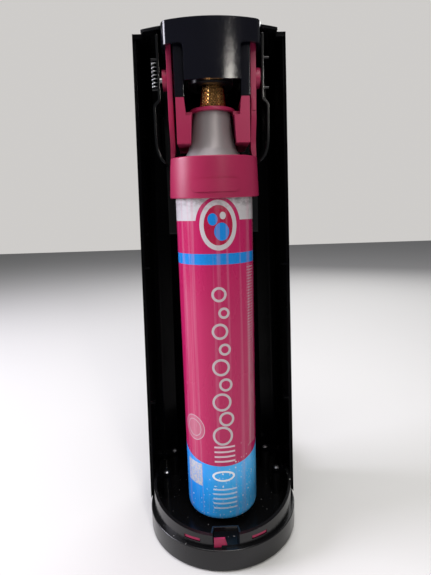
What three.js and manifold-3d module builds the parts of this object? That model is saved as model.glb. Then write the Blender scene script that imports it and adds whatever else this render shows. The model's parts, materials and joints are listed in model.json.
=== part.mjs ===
// Soda carbonator with its rear cover taken off. Millimetres, +Z up, -Y is the bottle side, +Y the open back.
// Every piece is drawn about the gas cylinder's axis; the last lines move the lot to the middle of the foot.
import * as THREE from 'three';
import { mergeVertices } from 'three/addons/utils/BufferGeometryUtils.js';
import Module from 'manifold-3d';

const wasm = await Module();
wasm.setup();

// Clearances
const seat = 0.3; // between pieces that bear on each other
const slack = 0.6; // between pieces that pass each other
const screwSlack = 0.2;
const dropRoom = 1.2; // under the gas cylinder when the handle has let it down

// Body
const footHalfWidth = 63.5;
const rimLean = 7.3; // how far each side leans in from the ledge up to the rim
const rimHalfWidth = footHalfWidth - rimLean;
const ledgeHeight = 18.6;
const footFront = 71; // cylinder axis to the centre of the foot's front curve
const shellWall = 2.6;
const columnFront = 62;
const columnCorner = 9;

// Foot
const footClearance = 1; // height of the foot's edge over the table
const footChamfer = 1.2;
const floorHeight = 9;
const floorWall = 2.5;
const ledgeWidth = 3.4;
const lipRadius = footHalfWidth - ledgeWidth;
const lipWall = 2.4;
const lipFront = 28.4; // height of the lip at the back of the foot
const lipSweep = 9.6; // how much higher it stands where it meets the column
const lipTail = 6;
const notchWidth = 20.6;
const pocketBack = 17.6; // width of the notch's pocket at its back wall
const pocketReach = 9.4; // lip face to the pocket's back wall
const pocketWall = 1.6;
const pocketWallLow = 24.6;
const pocketSideLow = 13.2;
const slotOffset = 26;
const slotWidth = 12.4;
const slotHeight = 3;
const slotLow = 21.9;
const barThickness = 2.4;
const barBridge = 3; // height of the latch bar where it passes under the pocket
const barHalfAngle = 0.62;
const postRadius = 4.2;
const postHeight = 30;
const lugThickness = 3;
const screwPosts = [[footHalfWidth - 12.5, -14], [footHalfWidth - 17.5, -49]];
const screwRadius = 1.5;
const screwLength = 14;
const padRadius = 6;
const padPlaces = [[footHalfWidth - 21.5, 34], [footHalfWidth - 19.5, -88]];
const tickHeights = [109, 226];
const tickReach = 4.2;

// Gas cylinder
const sleeveRadius = 30.15;
const sleeveWall = 0.35;
const liftTravel = 7;
const cylinderLow = floorHeight + dropRoom + liftTravel;
const cylinderLength = 327.8;
const neckLength = 55;
const heelRadius = 3.2;
const neckRadius = 14.5;
const neckHeight = cylinderLow + cylinderLength;
const shoulderHeight = neckHeight - neckLength;
const cylinderWall = 2.8;
const neckBore = 8;
const collarRadius = 17.8;
const collarHeight = 2.8;
const valveRadius = 10.4;
const valveTopRadius = 8.2;
const valveBodyHeight = 27;
const valveTaper = 18; // height over which the knurled grip narrows
const valveNose = 8;
const valveNoseHeight = 10;
const knurlCount = 18;
const knurlDepth = 0.45;
const valvePinRadius = 1.5;
const pinRise = 1.7; // of the valve's pin over the valve
const valveTop = neckHeight + seat + valveBodyHeight + valveNoseHeight;

// Handle and carrier
const handlePivotHeight = neckHeight + 22.5;
const armInside = 28.5;
const armThickness = 4.3;
const armDepth = 10;
const armRise = 22.5;
const bandRadius = 34.9; // at its lower edge
const bandTopRadius = 33.8;
const bandWall = 3;
const bandHeight = 31;
const bandLow = shoulderHeight - 8.8;
const bandHigh = bandLow + bandHeight;
const plaqueHalfWidth = 18.5;
const plaqueHalfHeight = 4.2;
const plaqueRise = 0.4;
const bossRadius = 7.3;
const bossReach = 3.8;
const hubRadius = 10;
const crankRadius = 1.5;
const pinRadius = 2;
const jawWidth = 11.7;
const jawLow = neckHeight - 26.4;
const jawHigh = neckHeight + 5.3;
const jawRear = 20;
const jawRoom = 1.6; // round the collar, between the jaws
const jawStepRear = 12;
const jawStepLow = jawHigh - 12.2;
const yokeFront = 28.8;
const yokeThickness = 6;
const earThickness = 3;

// Inner frame
const cheekInside = 37.4;
const cheekWall = 2;
const cheekRear = 8;
const lobeHigh = neckHeight + 5;
const lobeLow = neckHeight - 39;
const lobeBulge = 3.9;
const pegHeights = [handlePivotHeight - 7, handlePivotHeight + 14];
const panelWall = 2.2;
const panelLow = bandLow - 29.7;
const deckHigh = valveTop - 3.3;
const deckWall = 3;
const frameScrewX = 12;
const frameScrewRise = 10.5; // of the lower two over the panel's lower edge
const frameScrewPitch = 68;
const framePlaces = [1, -1].flatMap((side) => [0, frameScrewPitch].map((rise) => (
  [side * frameScrewX, panelLow + frameScrewRise + rise])));

// Gas head and lever
const headBlockRadius = 17;
const headBlockFlange = 21;
const headBlockLow = valveTop - 21.3;
const headBlockHigh = valveTop + 4.7;
const reliefSide = 9.5;
const plungerHead = headBlockHigh + 3.5;
const leverPivot = 18;
const leverHalfWidth = 6;
const leverThickness = 4.4;
const leverHeight = plungerHead + seat + leverThickness / 2;
const leverPinRadius = 1.5;
const tubeRadius = 2.5;
const tubeHeight = headBlockLow + 9;
const frameHigh = leverHeight + 3.4;

// Head and rim, over the lever
const guideWall = 2.4;
const guideDepth = 9;
const guideHigh = leverHeight + leverThickness / 2 + guideWall + 1.4;
const rimHeight = guideHigh + 1;
const headHeight = 114;
const headLow = rimHeight - headHeight;
const headMouth = 38;
const bridgeRise = 44; // over the head's lower edge
const bridgeLow = headLow + bridgeRise;
const bridgeWall = 4;
const crownRise = 16;
const crownRamp = 50;
const tongueHalfWidth = rimHalfWidth - 6.2;
const tongueRadius = 115;
const tongueReach = 5;
const buttonCentre = 80;
const buttonRadius = 33;
const buttonWall = 2.2;
const buttonRise = 5.5;
const stemRadius = 4;

// Hood over the gas head
const hoodHalfWidth = 35.7;
const hoodReach = 26.8;
const hoodArc = 94;
const hoodWall = 2.4;
const hoodFront = 6;
const hoodCheekHeight = 15;
const hoodCheekLow = rimHeight - hoodCheekHeight;
const apronHalfWidth = 20;
const apronHeight = 39.5;
const apronLow = rimHeight - apronHeight;
const legWidth = 6.8;
const legHeight = 49.2;
const legLow = rimHeight - legHeight;

// Bottle bay and tray
const bayCentre = 86.5; // cylinder axis to the bottle's axis
const bayRadius = 48;
const trayRadius = 43.6;
const trayFlange = 2.2;
const trayWall = 2;
const grilleWall = 2.2;
const grillePitch = 8;
const nozzleRadius = 3;
const nozzleReach = 128; // below the head
const nozzleLow = headLow - nozzleReach;
const nozzleBlockRise = 26;
const nozzleBlockLow = headLow + nozzleBlockRise;
const nozzleBlockRadius = 9;
const nozzleFlange = 12;
const nozzleSpigot = 7;
const nozzleSocket = 4;
const nozzleBlockHead = 15; // over the bridge
const nozzleBlockHigh = bridgeLow + nozzleBlockHead;
const nozzleSealRadius = 16.5;
const nozzleSealRise = 14;
const holderThroat = 20.6;
const holderDrop = 23; // below the head
const holderLow = headLow - holderDrop;
const holderPivot = headLow + 12;

// Drawing helpers
const arcSteps = 12;
const endSteps = 14; // half circles of the body's round ends
const hollowSteps = 12; // the hollow that takes the bottle
const lipSteps = 18;

function toSolid(geometry) {
  const bare = geometry.clone();
  bare.deleteAttribute('normal');
  bare.deleteAttribute('uv');
  const merged = mergeVertices(bare, 1e-4);
  const vertProperties = Float32Array.from(merged.attributes.position.array);
  const triVerts = Uint32Array.from(merged.index.array);
  return new wasm.Manifold(new wasm.Mesh({ numProp: 3, vertProperties, triVerts }));
}

function toGeometry(solid) {
  const mesh = solid.getMesh();
  const geometry = new THREE.BufferGeometry();
  geometry.setAttribute('position', new THREE.BufferAttribute(new Float32Array(mesh.vertProperties), 3));
  geometry.setIndex(new THREE.BufferAttribute(new Uint32Array(mesh.triVerts), 1));
  geometry.computeVertexNormals();
  return geometry;
}

const joined = (...solids) => solids.reduce((sum, next) => sum.add(next));
const cut = (solid, ...tools) => tools.reduce((rest, tool) => rest.subtract(tool), solid);

function box([x0, x1], [y0, y1], [z0, z1]) {
  const geometry = new THREE.BoxGeometry(x1 - x0, y1 - y0, z1 - z0);
  geometry.translate((x0 + x1) / 2, (y0 + y1) / 2, (z0 + z1) / 2);
  return toSolid(geometry);
}

const both = (make) => joined(make(1), make(-1));
const across = (half) => [-half, half];
const span = (side, near, far) => (side > 0 ? [near, far] : [-far, -near]);

function upright(radius, [x, y], [z0, z1], steps = arcSteps) {
  const geometry = new THREE.CylinderGeometry(radius, radius, z1 - z0, steps);
  geometry.rotateX(Math.PI / 2);
  geometry.translate(x, y, (z0 + z1) / 2);
  return toSolid(geometry);
}

function rodAlongX(radius, [x0, x1], [y, z], steps = arcSteps) {
  const geometry = new THREE.CylinderGeometry(radius, radius, x1 - x0, steps);
  geometry.rotateZ(Math.PI / 2);
  geometry.translate((x0 + x1) / 2, y, z);
  return toSolid(geometry);
}

function rodAlongY(radius, [y0, y1], [x, z], steps = arcSteps) {
  const geometry = new THREE.CylinderGeometry(radius, radius, y1 - y0, steps);
  geometry.translate(x, (y0 + y1) / 2, z);
  return toSolid(geometry);
}

// Turns a profile of [radius, height] points about the upright line through (x, y).
function turned(profile, [x, y] = [0, 0], steps = 22) {
  const points = profile.map(([radius, height]) => new THREE.Vector2(radius, height));
  const geometry = new THREE.LatheGeometry(points, steps);
  geometry.rotateX(Math.PI / 2);
  geometry.translate(x, y, 0);
  return toSolid(geometry);
}

function extrudedUp(shape, [z0, z1], curveSegments = arcSteps) {
  const geometry = new THREE.ExtrudeGeometry(shape, { depth: z1 - z0, bevelEnabled: false, curveSegments });
  geometry.translate(0, 0, z0);
  return geometry;
}

// A profile drawn in x and z, pushed along y.
function extrudedAlongY(shape, [y0, y1], curveSegments = arcSteps) {
  const geometry = new THREE.ExtrudeGeometry(shape, { depth: y1 - y0, bevelEnabled: false, curveSegments });
  geometry.rotateX(Math.PI / 2);
  geometry.translate(0, y1, 0);
  return toSolid(geometry);
}

// A profile drawn in y and z, pushed along x.
function extrudedAlongX(shape, [x0, x1], curveSegments = arcSteps) {
  const geometry = new THREE.ExtrudeGeometry(shape, { depth: x1 - x0, bevelEnabled: false, curveSegments });
  const turn = new THREE.Matrix4().makeBasis(
    new THREE.Vector3(0, 1, 0), new THREE.Vector3(0, 0, 1), new THREE.Vector3(1, 0, 0));
  geometry.applyMatrix4(turn);
  geometry.translate(x0, 0, 0);
  return toSolid(geometry);
}

function polygon(points) {
  return new THREE.Shape(points.map(([x, y]) => new THREE.Vector2(x, y)));
}

function arcPoints(cx, cy, radius, from, to, steps = arcSteps) {
  return Array.from({ length: steps + 1 }, (_, step) => {
    const angle = from + (to - from) * step / steps;
    return [cx + radius * Math.cos(angle), cy + radius * Math.sin(angle)];
  });
}

// Joins rings of equal length, each counter-clockwise seen from above and listed from the bottom up.
function loft(rings) {
  const count = rings[0].length;
  const position = rings.flat().flat();
  const index = [];
  for (let ring = 0; ring + 1 < rings.length; ring += 1) {
    for (let at = 0; at < count; at += 1) {
      const next = (at + 1) % count;
      const [a, b] = [ring * count + at, ring * count + next];
      index.push(a, b, b + count, a, b + count, a + count);
    }
  }
  const cap = (ring) => THREE.ShapeUtils.triangulateShape(
    ring.map(([x, y]) => new THREE.Vector2(x, y)), []);
  const top = (rings.length - 1) * count;
  for (const [a, b, c] of cap(rings[0])) index.push(a, c, b);
  for (const [a, b, c] of cap(rings.at(-1))) index.push(top + a, top + b, top + c);
  const geometry = new THREE.BufferGeometry();
  geometry.setAttribute('position', new THREE.Float32BufferAttribute(position, 3));
  geometry.setIndex(index);
  return geometry;
}

const level = (points, z) => points.map(([x, y]) => [x, y, z]);

// The body narrows with height: in x about its middle, and in y in front of the foot's front centre.
function shrinkAt(z) {
  const share = (z - ledgeHeight) / (rimHeight - ledgeHeight);
  return 1 - (1 - rimHalfWidth / footHalfWidth) * Math.max(share, 0);
}

function tapered(geometry) {
  const at = geometry.attributes.position;
  for (let i = 0; i < at.count; i += 1) {
    const factor = shrinkAt(at.getZ(i));
    at.setX(i, at.getX(i) * factor);
    if (at.getY(i) < -footFront) at.setY(i, -footFront + (at.getY(i) + footFront) * factor);
  }
  return geometry;
}

// Outlines seen from above
function stadium(inset) {
  const radius = footHalfWidth - inset;
  return [
    ...arcPoints(0, 0, radius, 0, Math.PI, endSteps),
    ...arcPoints(0, -footFront, radius, Math.PI, 2 * Math.PI, endSteps)];
}

// The front of the column: straight sides, round corners and a hollow that takes the bottle.
function columnPath(inset) {
  const halfWidth = footHalfWidth - inset;
  const front = -columnFront + inset;
  const corner = columnCorner - inset;
  const hollow = bayRadius + inset;
  const rise = front + bayCentre;
  const angle = Math.asin(rise / hollow);
  return [
    [-halfWidth, 0],
    ...arcPoints(corner - halfWidth, front + corner, corner, Math.PI, 1.5 * Math.PI, 4),
    ...arcPoints(0, -bayCentre, hollow, Math.PI - angle, angle, hollowSteps),
    ...arcPoints(halfWidth - corner, front + corner, corner, 1.5 * Math.PI, 2 * Math.PI, 4),
    [halfWidth, 0],
  ];
}

// The head: the front curve, and a back that follows the column's hollow.
function headOutline(inset) {
  const halfWidth = footHalfWidth - inset;
  const back = -columnFront - seat - inset;
  const hollow = bayRadius - seat - inset;
  const angle = Math.asin((back + bayCentre) / hollow);
  return [
    [-halfWidth, back],
    ...arcPoints(0, -footFront, halfWidth, Math.PI, 2 * Math.PI, endSteps),
    [halfWidth, back],
    ...arcPoints(0, -bayCentre, hollow, angle, Math.PI - angle, hollowSteps),
  ];
}

// Parts of the housing
function latchOpenings() {
  const notch = box([-notchWidth / 2, notchWidth / 2], [lipRadius * 0.7, lipRadius + 3],
    [ledgeHeight, lipFront + lipSweep]);
  const slots = both((side) => box(
    span(side, slotOffset - slotWidth / 2, slotOffset + slotWidth / 2),
    [lipRadius * 0.5, lipRadius + 3], [slotLow, slotLow + slotHeight]));
  return [notch, slots];
}

const barHigh = slotLow + slotHeight + 0.9;
const lipInside = lipRadius - lipWall;

// The notch opens into a pocket whose sides draw in towards a short back wall over the latch bar.
function pocket() {
  const backFace = lipRadius - pocketReach;
  const mouth = Math.sqrt(lipInside ** 2 - (notchWidth / 2) ** 2) + 0.5;
  const side = both((way) => {
    const [front, back] = [way * notchWidth / 2, way * pocketBack / 2];
    const rear = backFace - pocketWall;
    const thick = way * pocketWall;
    const ring = [[front, mouth], [back, rear], [back + thick, rear], [front + thick, mouth]];
    return toSolid(extrudedUp(polygon(way > 0 ? ring : ring.toReversed()), [pocketSideLow, lipFront]));
  });
  const back = box([-pocketBack / 2 - 0.5, pocketBack / 2 + 0.5], [backFace - pocketWall, backFace],
    [pocketWallLow, lipFront]);
  return joined(side, back);
}

// The lip's top edge slopes: low at the back of the foot, high where it runs into the column.
function lip() {
  const path = polygon([
    ...arcPoints(0, 0, lipRadius, 0, Math.PI, lipSteps), [-lipRadius, -lipTail], [-lipInside, -lipTail],
    ...arcPoints(0, 0, lipInside, Math.PI, 0, lipSteps), [lipInside, -lipTail], [lipRadius, -lipTail]]);
  const sideHigh = lipFront + lipSweep;
  const wall = toSolid(extrudedUp(path, [ledgeHeight - 1, sideHigh]));
  const over = lipRadius * 1.1;
  const slope = extrudedAlongX(polygon([
    [0, sideHigh], [over, sideHigh - lipSweep * over / lipRadius], [over, sideHigh + 1], [0, sideHigh + 1]]),
  [-footHalfWidth, footHalfWidth]);
  return joined(cut(wall, slope, ...latchOpenings()), pocket());
}

const postPlaces = screwPosts.flatMap(([x, y]) => [[x, y], [-x, y]]);
const padCentres = padPlaces.flatMap(([x, y]) => [[x, y], [-x, y]]);
const floorUnder = floorHeight - floorWall;

function baseHousing() {
  const block = toSolid(loft([
    level(stadium(footChamfer), footClearance), level(stadium(0), footClearance + footChamfer),
    level(stadium(0), ledgeHeight - 0.5), level(stadium(0.5), ledgeHeight)]));
  const under = toSolid(extrudedUp(polygon(stadium(shellWall + 0.6)), [0, floorUnder]));
  const roomPath = [...columnPath(shellWall + 1), ...arcPoints(0, 0, lipInside, 0, Math.PI, lipSteps)];
  const room = toSolid(extrudedUp(polygon(roomPath), [floorHeight, ledgeHeight + 1]));
  const well = upright(trayRadius + slack, [0, -bayCentre], [floorHeight, ledgeHeight + 1], 26);
  const ribs = [-footFront, -footFront / 2, 0].map((y) => box(
    [-footHalfWidth + 2, footHalfWidth - 2], [y - 0.9, y + 0.9], [footClearance + 2, floorUnder + 0.5]));
  const padSeats = padCentres.map((place) => cut(
    upright(padRadius + 2, place, [footClearance, floorUnder + 0.5]),
    upright(padRadius + seat, place, [0, footClearance + 1.7])));
  const padRooms = padCentres.map((place) => upright(padRadius + 1, place, [0, floorUnder]));
  const posts = postPlaces.map((place) => upright(postRadius, place, [floorHeight - 1, postHeight], 10));
  const headRooms = postPlaces.map((place) => upright(postRadius + 1, place, [0, floorUnder], 10));
  const threads = postPlaces.map((place) => upright(
    screwRadius + screwSlack, place, [floorHeight + 2, postHeight + 1], 12));
  const deck = cut(block, under, room, well);
  const ribbed = cut(joined(deck, ...ribs), ...padRooms, ...headRooms);
  return cut(joined(ribbed, ...padSeats, lip(), ...posts), ...threads);
}

const lugHigh = postHeight + seat + lugThickness;
const wallMouth = { halfWidth: 15, low: tubeHeight - 4 };

function columnShell() {
  const outer = columnPath(0);
  const inner = columnPath(shellWall).reverse();
  const wall = toSolid(tapered(extrudedUp(polygon([...outer, ...inner]), [ledgeHeight + seat, rimHeight])));
  const insideAt = (z) => (footHalfWidth - shellWall) * shrinkAt(z);
  const lugs = postPlaces.map(([x, y]) => {
    const reach = insideAt(postHeight) + 1;
    const [low, high] = [postHeight + seat, lugHigh];
    const arm = box(x > 0 ? [x, reach] : [-reach, x], [y - postRadius, y + postRadius], [low, high]);
    return joined(arm, upright(postRadius, [x, y], [low, high], 12));
  });
  const lugHoles = postPlaces.map((place) => upright(
    screwRadius + screwSlack, place, [postHeight, lugHigh + 1]));
  const ticks = tickHeights.map((z) => both((side) => box(
    span(side, insideAt(z) - tickReach, insideAt(z) + 1), [-5.5, -0.8], [z - 0.7, z + 0.7])));
  const bosses = framePlaces.map(([x, z]) => rodAlongY(4, [hollowBack(x) - 1.2, panelBack - seat], [x, z]));
  const bossHoles = framePlaces.map(([x, z]) => rodAlongY(1.4, [panelBack - 3.6, panelBack + 1], [x, z], 12));
  const mouth = box([-wallMouth.halfWidth, wallMouth.halfWidth],
    [-columnFront - 1, -sleeveRadius - 1], [wallMouth.low, rimHeight + 1]);
  return cut(joined(wall, ...lugs, ...ticks, ...bosses), ...lugHoles, ...bossHoles, mouth);
}

const panelFace = -sleeveRadius - 2.95; // the inner frame's back panel, cylinder side
const panelBack = panelFace - panelWall;
const hollowBack = (x) => -bayCentre + Math.sqrt((bayRadius + shellWall) ** 2 - x ** 2);

const bracketInside = headMouth + 0.4;

function headHousing() {
  const shell = toSolid(tapered(loft([
    level(headOutline(footChamfer), headLow), level(headOutline(0), headLow + footChamfer),
    level(headOutline(0), rimHeight)])));
  const hollow = toSolid(tapered(loft([
    level(headOutline(shellWall), headLow + shellWall), level(headOutline(shellWall), rimHeight + 1)])));
  const mouth = upright(headMouth, [0, -bayCentre], [headLow - 1, headLow + shellWall + 1], 26);
  const brackets = both((side) => cut(
    box(span(side, bracketInside, bracketInside + 3), [-bayCentre - 6, -bayCentre + 6],
      [headLow + 1, holderPivot + 6]),
    rodAlongX(pinRadius + screwSlack, span(side, bracketInside - 1, bracketInside + 4),
      [-bayCentre, holderPivot])));
  const bridge = box([-footHalfWidth, footHalfWidth], [-bayCentre - 11, -bayCentre + 11],
    [bridgeLow, bridgeLow + bridgeWall]);
  const bridgeHole = upright(nozzleBlockRadius + seat, [0, -bayCentre],
    [bridgeLow - 1, bridgeLow + bridgeWall + 1], 18);
  const guide = box([-footHalfWidth, footHalfWidth], [-buttonCentre - guideDepth, -buttonCentre + guideDepth],
    [guideHigh - guideWall, guideHigh]);
  const guideHole = upright(stemRadius + screwSlack, [0, -buttonCentre], [guideHigh - 4, guideHigh + 1]);
  const backMouth = box([-wallMouth.halfWidth, wallMouth.halfWidth],
    [-columnFront + 2, -bayCentre + bayRadius + 2], [wallMouth.low, rimHeight + 1]);
  const walls = cut(shell, hollow, mouth, backMouth);
  const beams = cut(joined(bridge, guide).intersect(shell), bridgeHole, guideHole);
  return joined(walls, brackets, beams);
}

// The crown rises from the rim at the back and is round along its sides and front.
function crownRings(inset, drop, steps) {
  const half = rimHalfWidth - inset;
  const sidePoints = 4;
  const side = Array.from({ length: sidePoints }, (_, i) => (
    -inset - (footFront - inset) * (i + 1) / (sidePoints + 1)));
  const outline = [
    ...side.map((y) => [-half, y]),
    ...arcPoints(0, -footFront, half, Math.PI, 2 * Math.PI, endSteps),
    ...side.toReversed().map((y) => [half, y]),
    ...[1, 0, -1].map((share) => [half * share, -inset]),
  ];
  const middle = -footFront * 0.75;
  const ramp = (y) => THREE.MathUtils.smoothstep(-y, 0, crownRamp);
  const rings = steps.map((share) => outline.map(([x, y]) => {
    const flatY = middle + (y - middle) * share;
    const round = (1 - share ** 3) ** (1 / 3);
    return [x * share, flatY, rimHeight + seat + 1.4 + crownRise * round * ramp(flatY) - drop];
  }));
  return [level(outline, rimHeight + seat - (drop ? 1 : 0)), ...rings];
}

function tongue() {
  const centre = tongueReach - Math.sqrt(tongueRadius ** 2 - tongueHalfWidth ** 2);
  const half = Math.asin(tongueHalfWidth / tongueRadius);
  const edge = arcPoints(0, centre, tongueRadius, Math.PI / 2 - half, Math.PI / 2 + half);
  const plate = polygon([[tongueHalfWidth, -8], ...edge, [-tongueHalfWidth, -8]]);
  return toSolid(extrudedUp(plate, [rimHeight - 2.6, rimHeight + seat + 0.6]));
}

function topCap() {
  const crown = cut(toSolid(loft(crownRings(0, 0, [1, 0.98, 0.93, 0.83, 0.65, 0.4]))),
    toSolid(loft(crownRings(2, 2.2, [1, 0.95, 0.8, 0.5]))));
  const band = (outside, inside, heights) => toSolid(extrudedUp(polygon([
    ...arcPoints(0, -footFront, rimHalfWidth - outside, Math.PI, 2 * Math.PI, endSteps),
    ...arcPoints(0, -footFront, rimHalfWidth - inside, 2 * Math.PI, Math.PI, endSteps)]), heights));
  const skirtOutside = shellWall + 0.5;
  const guideRoom = box([-rimHalfWidth, rimHalfWidth],
    [-buttonCentre - guideDepth - slack, -buttonCentre + guideDepth + slack],
    [rimHeight - 9, rimHeight + seat]);
  const skirt = joined(
    band(skirtOutside, skirtOutside + 1.8, [rimHeight - 5, rimHeight + seat + 1]),
    band(1, skirtOutside + 1.8, [rimHeight + seat, rimHeight + seat + 1.2]));
  const buttonHole = upright(buttonRadius + 0.4, [0, -buttonCentre], [rimHeight - 9, rimHeight + 40], 28);
  const hoodRoom = box([-hoodHalfWidth - seat, hoodHalfWidth + seat], [-hoodFront - seat, hoodReach],
    [rimHeight - 9, rimHeight + seat]);
  return cut(joined(crown, tongue(), skirt), buttonHole, hoodRoom, guideRoom);
}

// Inner frame, hood and gas head
function cheekProfile(side) {
  const inside = cheekInside;
  const outside = cheekInside + cheekWall;
  const curl = lobeLow + 19; // where the lobe starts to turn in under the carrier
  const toe = inside - 1.5;
  const path = new THREE.Shape();
  path.moveTo(side * inside, frameHigh);
  path.lineTo(side * outside, frameHigh);
  path.lineTo(side * outside, lobeHigh + 2);
  path.lineTo(side * (outside + lobeBulge), lobeHigh - 1.5);
  path.lineTo(side * (outside + lobeBulge), curl);
  path.quadraticCurveTo(side * (outside + lobeBulge), lobeLow + 4, side * toe, lobeLow);
  path.lineTo(side * toe, lobeLow + cheekWall);
  path.quadraticCurveTo(
    side * (inside + lobeBulge), lobeLow + 4 + cheekWall, side * (inside + lobeBulge), curl);
  path.lineTo(side * (inside + lobeBulge), lobeHigh - 2.5);
  path.lineTo(side * inside, lobeHigh + 1);
  path.closePath();
  return path;
}

const deckSide = armInside - 1.5;
const railInside = 21.5;
const detentRadius = 1.7;
const detentWire = 0.4;
const springAxis = cheekInside + cheekWall + seat + detentRadius + detentWire;

function innerFrame() {
  const panel = box([-cheekInside - cheekWall, cheekInside + cheekWall], [panelBack, panelFace],
    [panelLow, frameHigh]);
  const cheeks = both((side) => extrudedAlongY(cheekProfile(side), [panelFace - 1, cheekRear], 8));
  const pinHoles = rodAlongX(
    pinRadius + screwSlack, across(cheekInside + cheekWall + 1), [0, handlePivotHeight]);
  const deck = joined(
    box(across(deckSide), [panelFace - 1, cheekRear], [deckHigh - deckWall, deckHigh]),
    box(across(19.5), [cheekRear - 1, leverPivot - 2.6], [deckHigh - deckWall, deckHigh]),
    box(across(15), [cheekRear - 1, leverPivot + 4.8], [deckHigh - deckWall, deckHigh]));
  const deckHole = upright(headBlockRadius + seat, [0, 0], [deckHigh - 9, deckHigh + 1], 22);
  const ears = both((side) => box(span(side, leverHalfWidth + 1, leverHalfWidth + 3.6),
    [leverPivot - 5, leverPivot + 4.5], [deckHigh - 1, leverHeight + 3]));
  const leverHole = rodAlongX(leverPinRadius + screwSlack, across(20), [leverPivot, leverHeight]);
  const rails = both((side) => box(span(side, railInside, railInside + 3), [panelFace - 1, -yokeFront - seat],
    [jawLow - liftTravel - 8, jawHigh + 4]));
  const screwHoles = framePlaces.map(([x, z]) => rodAlongY(
    screwRadius + screwSlack, [panelBack - 1, panelFace + 1], [x, z]));
  const pegs = pegHeights.map((z) => rodAlongX(1, [cheekInside + 1, springAxis + 2], [2, z], 8));
  const mouth = box([-wallMouth.halfWidth, wallMouth.halfWidth], [panelBack - 1, panelFace + 0.5],
    [wallMouth.low, deckHigh - deckWall]);
  const leverMouth = box([-wallMouth.halfWidth, wallMouth.halfWidth], [panelBack - 1, panelFace + 0.5],
    [deckHigh + 1, frameHigh + 1]);
  const walls = cut(joined(panel, cheeks, rails), pinHoles, mouth, leverMouth, ...screwHoles);
  return joined(walls, ...pegs, cut(joined(deck, ears), deckHole, leverHole));
}

function hoodOutline(inset) {
  const half = hoodHalfWidth - inset;
  const radius = hoodArc - inset;
  const centre = hoodReach - hoodArc;
  const corner = 4 - inset * 0.5;
  const sideAngle = Math.asin((half - corner) / radius);
  const shoulder = centre + radius * Math.cos(sideAngle) - corner;
  return [
    [-half, -hoodFront], [half, -hoodFront],
    ...arcPoints(half - corner, shoulder, corner, 0, Math.PI / 2 - sideAngle, 5),
    ...arcPoints(0, centre, radius, Math.PI / 2 - sideAngle, Math.PI / 2 + sideAngle, 16),
    ...arcPoints(corner - half, shoulder, corner, Math.PI / 2 + sideAngle, Math.PI, 5),
  ];
}

function hood() {
  const low = apronLow;
  const shell = toSolid(loft([
    level(hoodOutline(0), low), level(hoodOutline(0), rimHeight - 1), level(hoodOutline(1), rimHeight)]));
  const inside = hoodOutline(hoodWall).map(([x, y]) => [x, y === -hoodFront ? y - 2 : y]);
  const hollow = toSolid(extrudedUp(polygon(inside), [low - 1, rimHeight - hoodWall]));
  const sideRooms = both((side) => box(span(side, apronHalfWidth, hoodHalfWidth + 1),
    [-hoodFront - 1, hoodReach + 1], [low - 1, hoodCheekLow]));
  const legInside = apronHalfWidth + 0.4;
  const legRear = hoodReach - 8;
  const legs = both((side) => joined(
    box(span(side, legInside, legInside + legWidth), [legRear - 6, legRear],
      [legLow, rimHeight - hoodWall + 0.5]),
    box(span(side, apronHalfWidth - 2.6, legInside + 2), [legRear - 3, hoodReach - hoodWall - 0.6],
      [apronLow + 3, hoodCheekLow])));
  return joined(cut(shell, hollow, sideRooms), legs);
}

function gasHead() {
  const high = headBlockHigh;
  const body = turned([
    [0, headBlockLow], [headBlockRadius - 1, headBlockLow], [headBlockRadius, headBlockLow + 1],
    [headBlockRadius, deckHigh + seat], [headBlockFlange, deckHigh + seat],
    [headBlockFlange, deckHigh + seat + 3], [headBlockRadius - 4, deckHigh + seat + 3.5],
    [headBlockRadius - 5, high], [0, high]]);
  const socket = upright(socketRadius, [0, 0], [headBlockLow - 1, socketHigh], 22);
  const stemHole = upright(1.6 + seat, [0, 0], [socketHigh - 1, high + 1], 16);
  const outlet = rodAlongY(
    tubeRadius + screwSlack, [-headBlockRadius - 1, -headBlockRadius + 3], [0, tubeHeight], 16);
  const earRoom = box([-12, 12], [leverPivot - 5 - seat, 30], [deckHigh, high]);
  return cut(body, socket, stemHole, outlet, earRoom);
}

const socketRadius = 10.9;
const socketHigh = valveTop + 2.5;

function seatSeal() {
  const [inside, outside] = [4.5, socketRadius - 0.5];
  const [low, high] = [valveTop + seat, socketHigh - seat];
  return turned([[inside, low], [outside, low], [outside, high], [inside, high], [inside, low]], [0, 0], 20);
}

function reliefValve() {
  const rear = -Math.sqrt(headBlockRadius ** 2 - (reliefSide - 0.5) ** 2);
  return joined(
    rodAlongY(2.4, [rear - 4, rear - 1.6 + seat], [reliefSide, tubeHeight]),
    rodAlongY(3.6, [rear - 9, rear - 3.9], [reliefSide, tubeHeight], 6),
    rodAlongY(2.6, [rear - 11, rear - 8.9], [reliefSide, tubeHeight]));
}

function gasTube() {
  const path = new THREE.CurvePath();
  const start = new THREE.Vector3(0, -headBlockRadius - seat, tubeHeight);
  const bendOne = new THREE.Vector3(0, -bayCentre + 16, tubeHeight);
  const corner = new THREE.Vector3(0, -bayCentre, tubeHeight);
  const bendTwo = new THREE.Vector3(0, -bayCentre, tubeHeight - 12);
  const end = new THREE.Vector3(0, -bayCentre, nozzleBlockHigh + seat);
  path.add(new THREE.LineCurve3(start, bendOne));
  path.add(new THREE.QuadraticBezierCurve3(bendOne, corner, bendTwo));
  path.add(new THREE.LineCurve3(bendTwo, end));
  const section = polygon(arcPoints(0, 0, tubeRadius, 0, 2 * Math.PI, 8).slice(1));
  const geometry = new THREE.ExtrudeGeometry(section, { steps: 14, extrudePath: path });
  return toSolid(geometry);
}

function tubeNut() {
  const y = -headBlockRadius - 1;
  return cut(rodAlongY(5, [y - 7, y - seat], [0, tubeHeight], 6),
    rodAlongY(tubeRadius + screwSlack, [y - 8, y + 1], [0, tubeHeight], 14));
}

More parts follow.
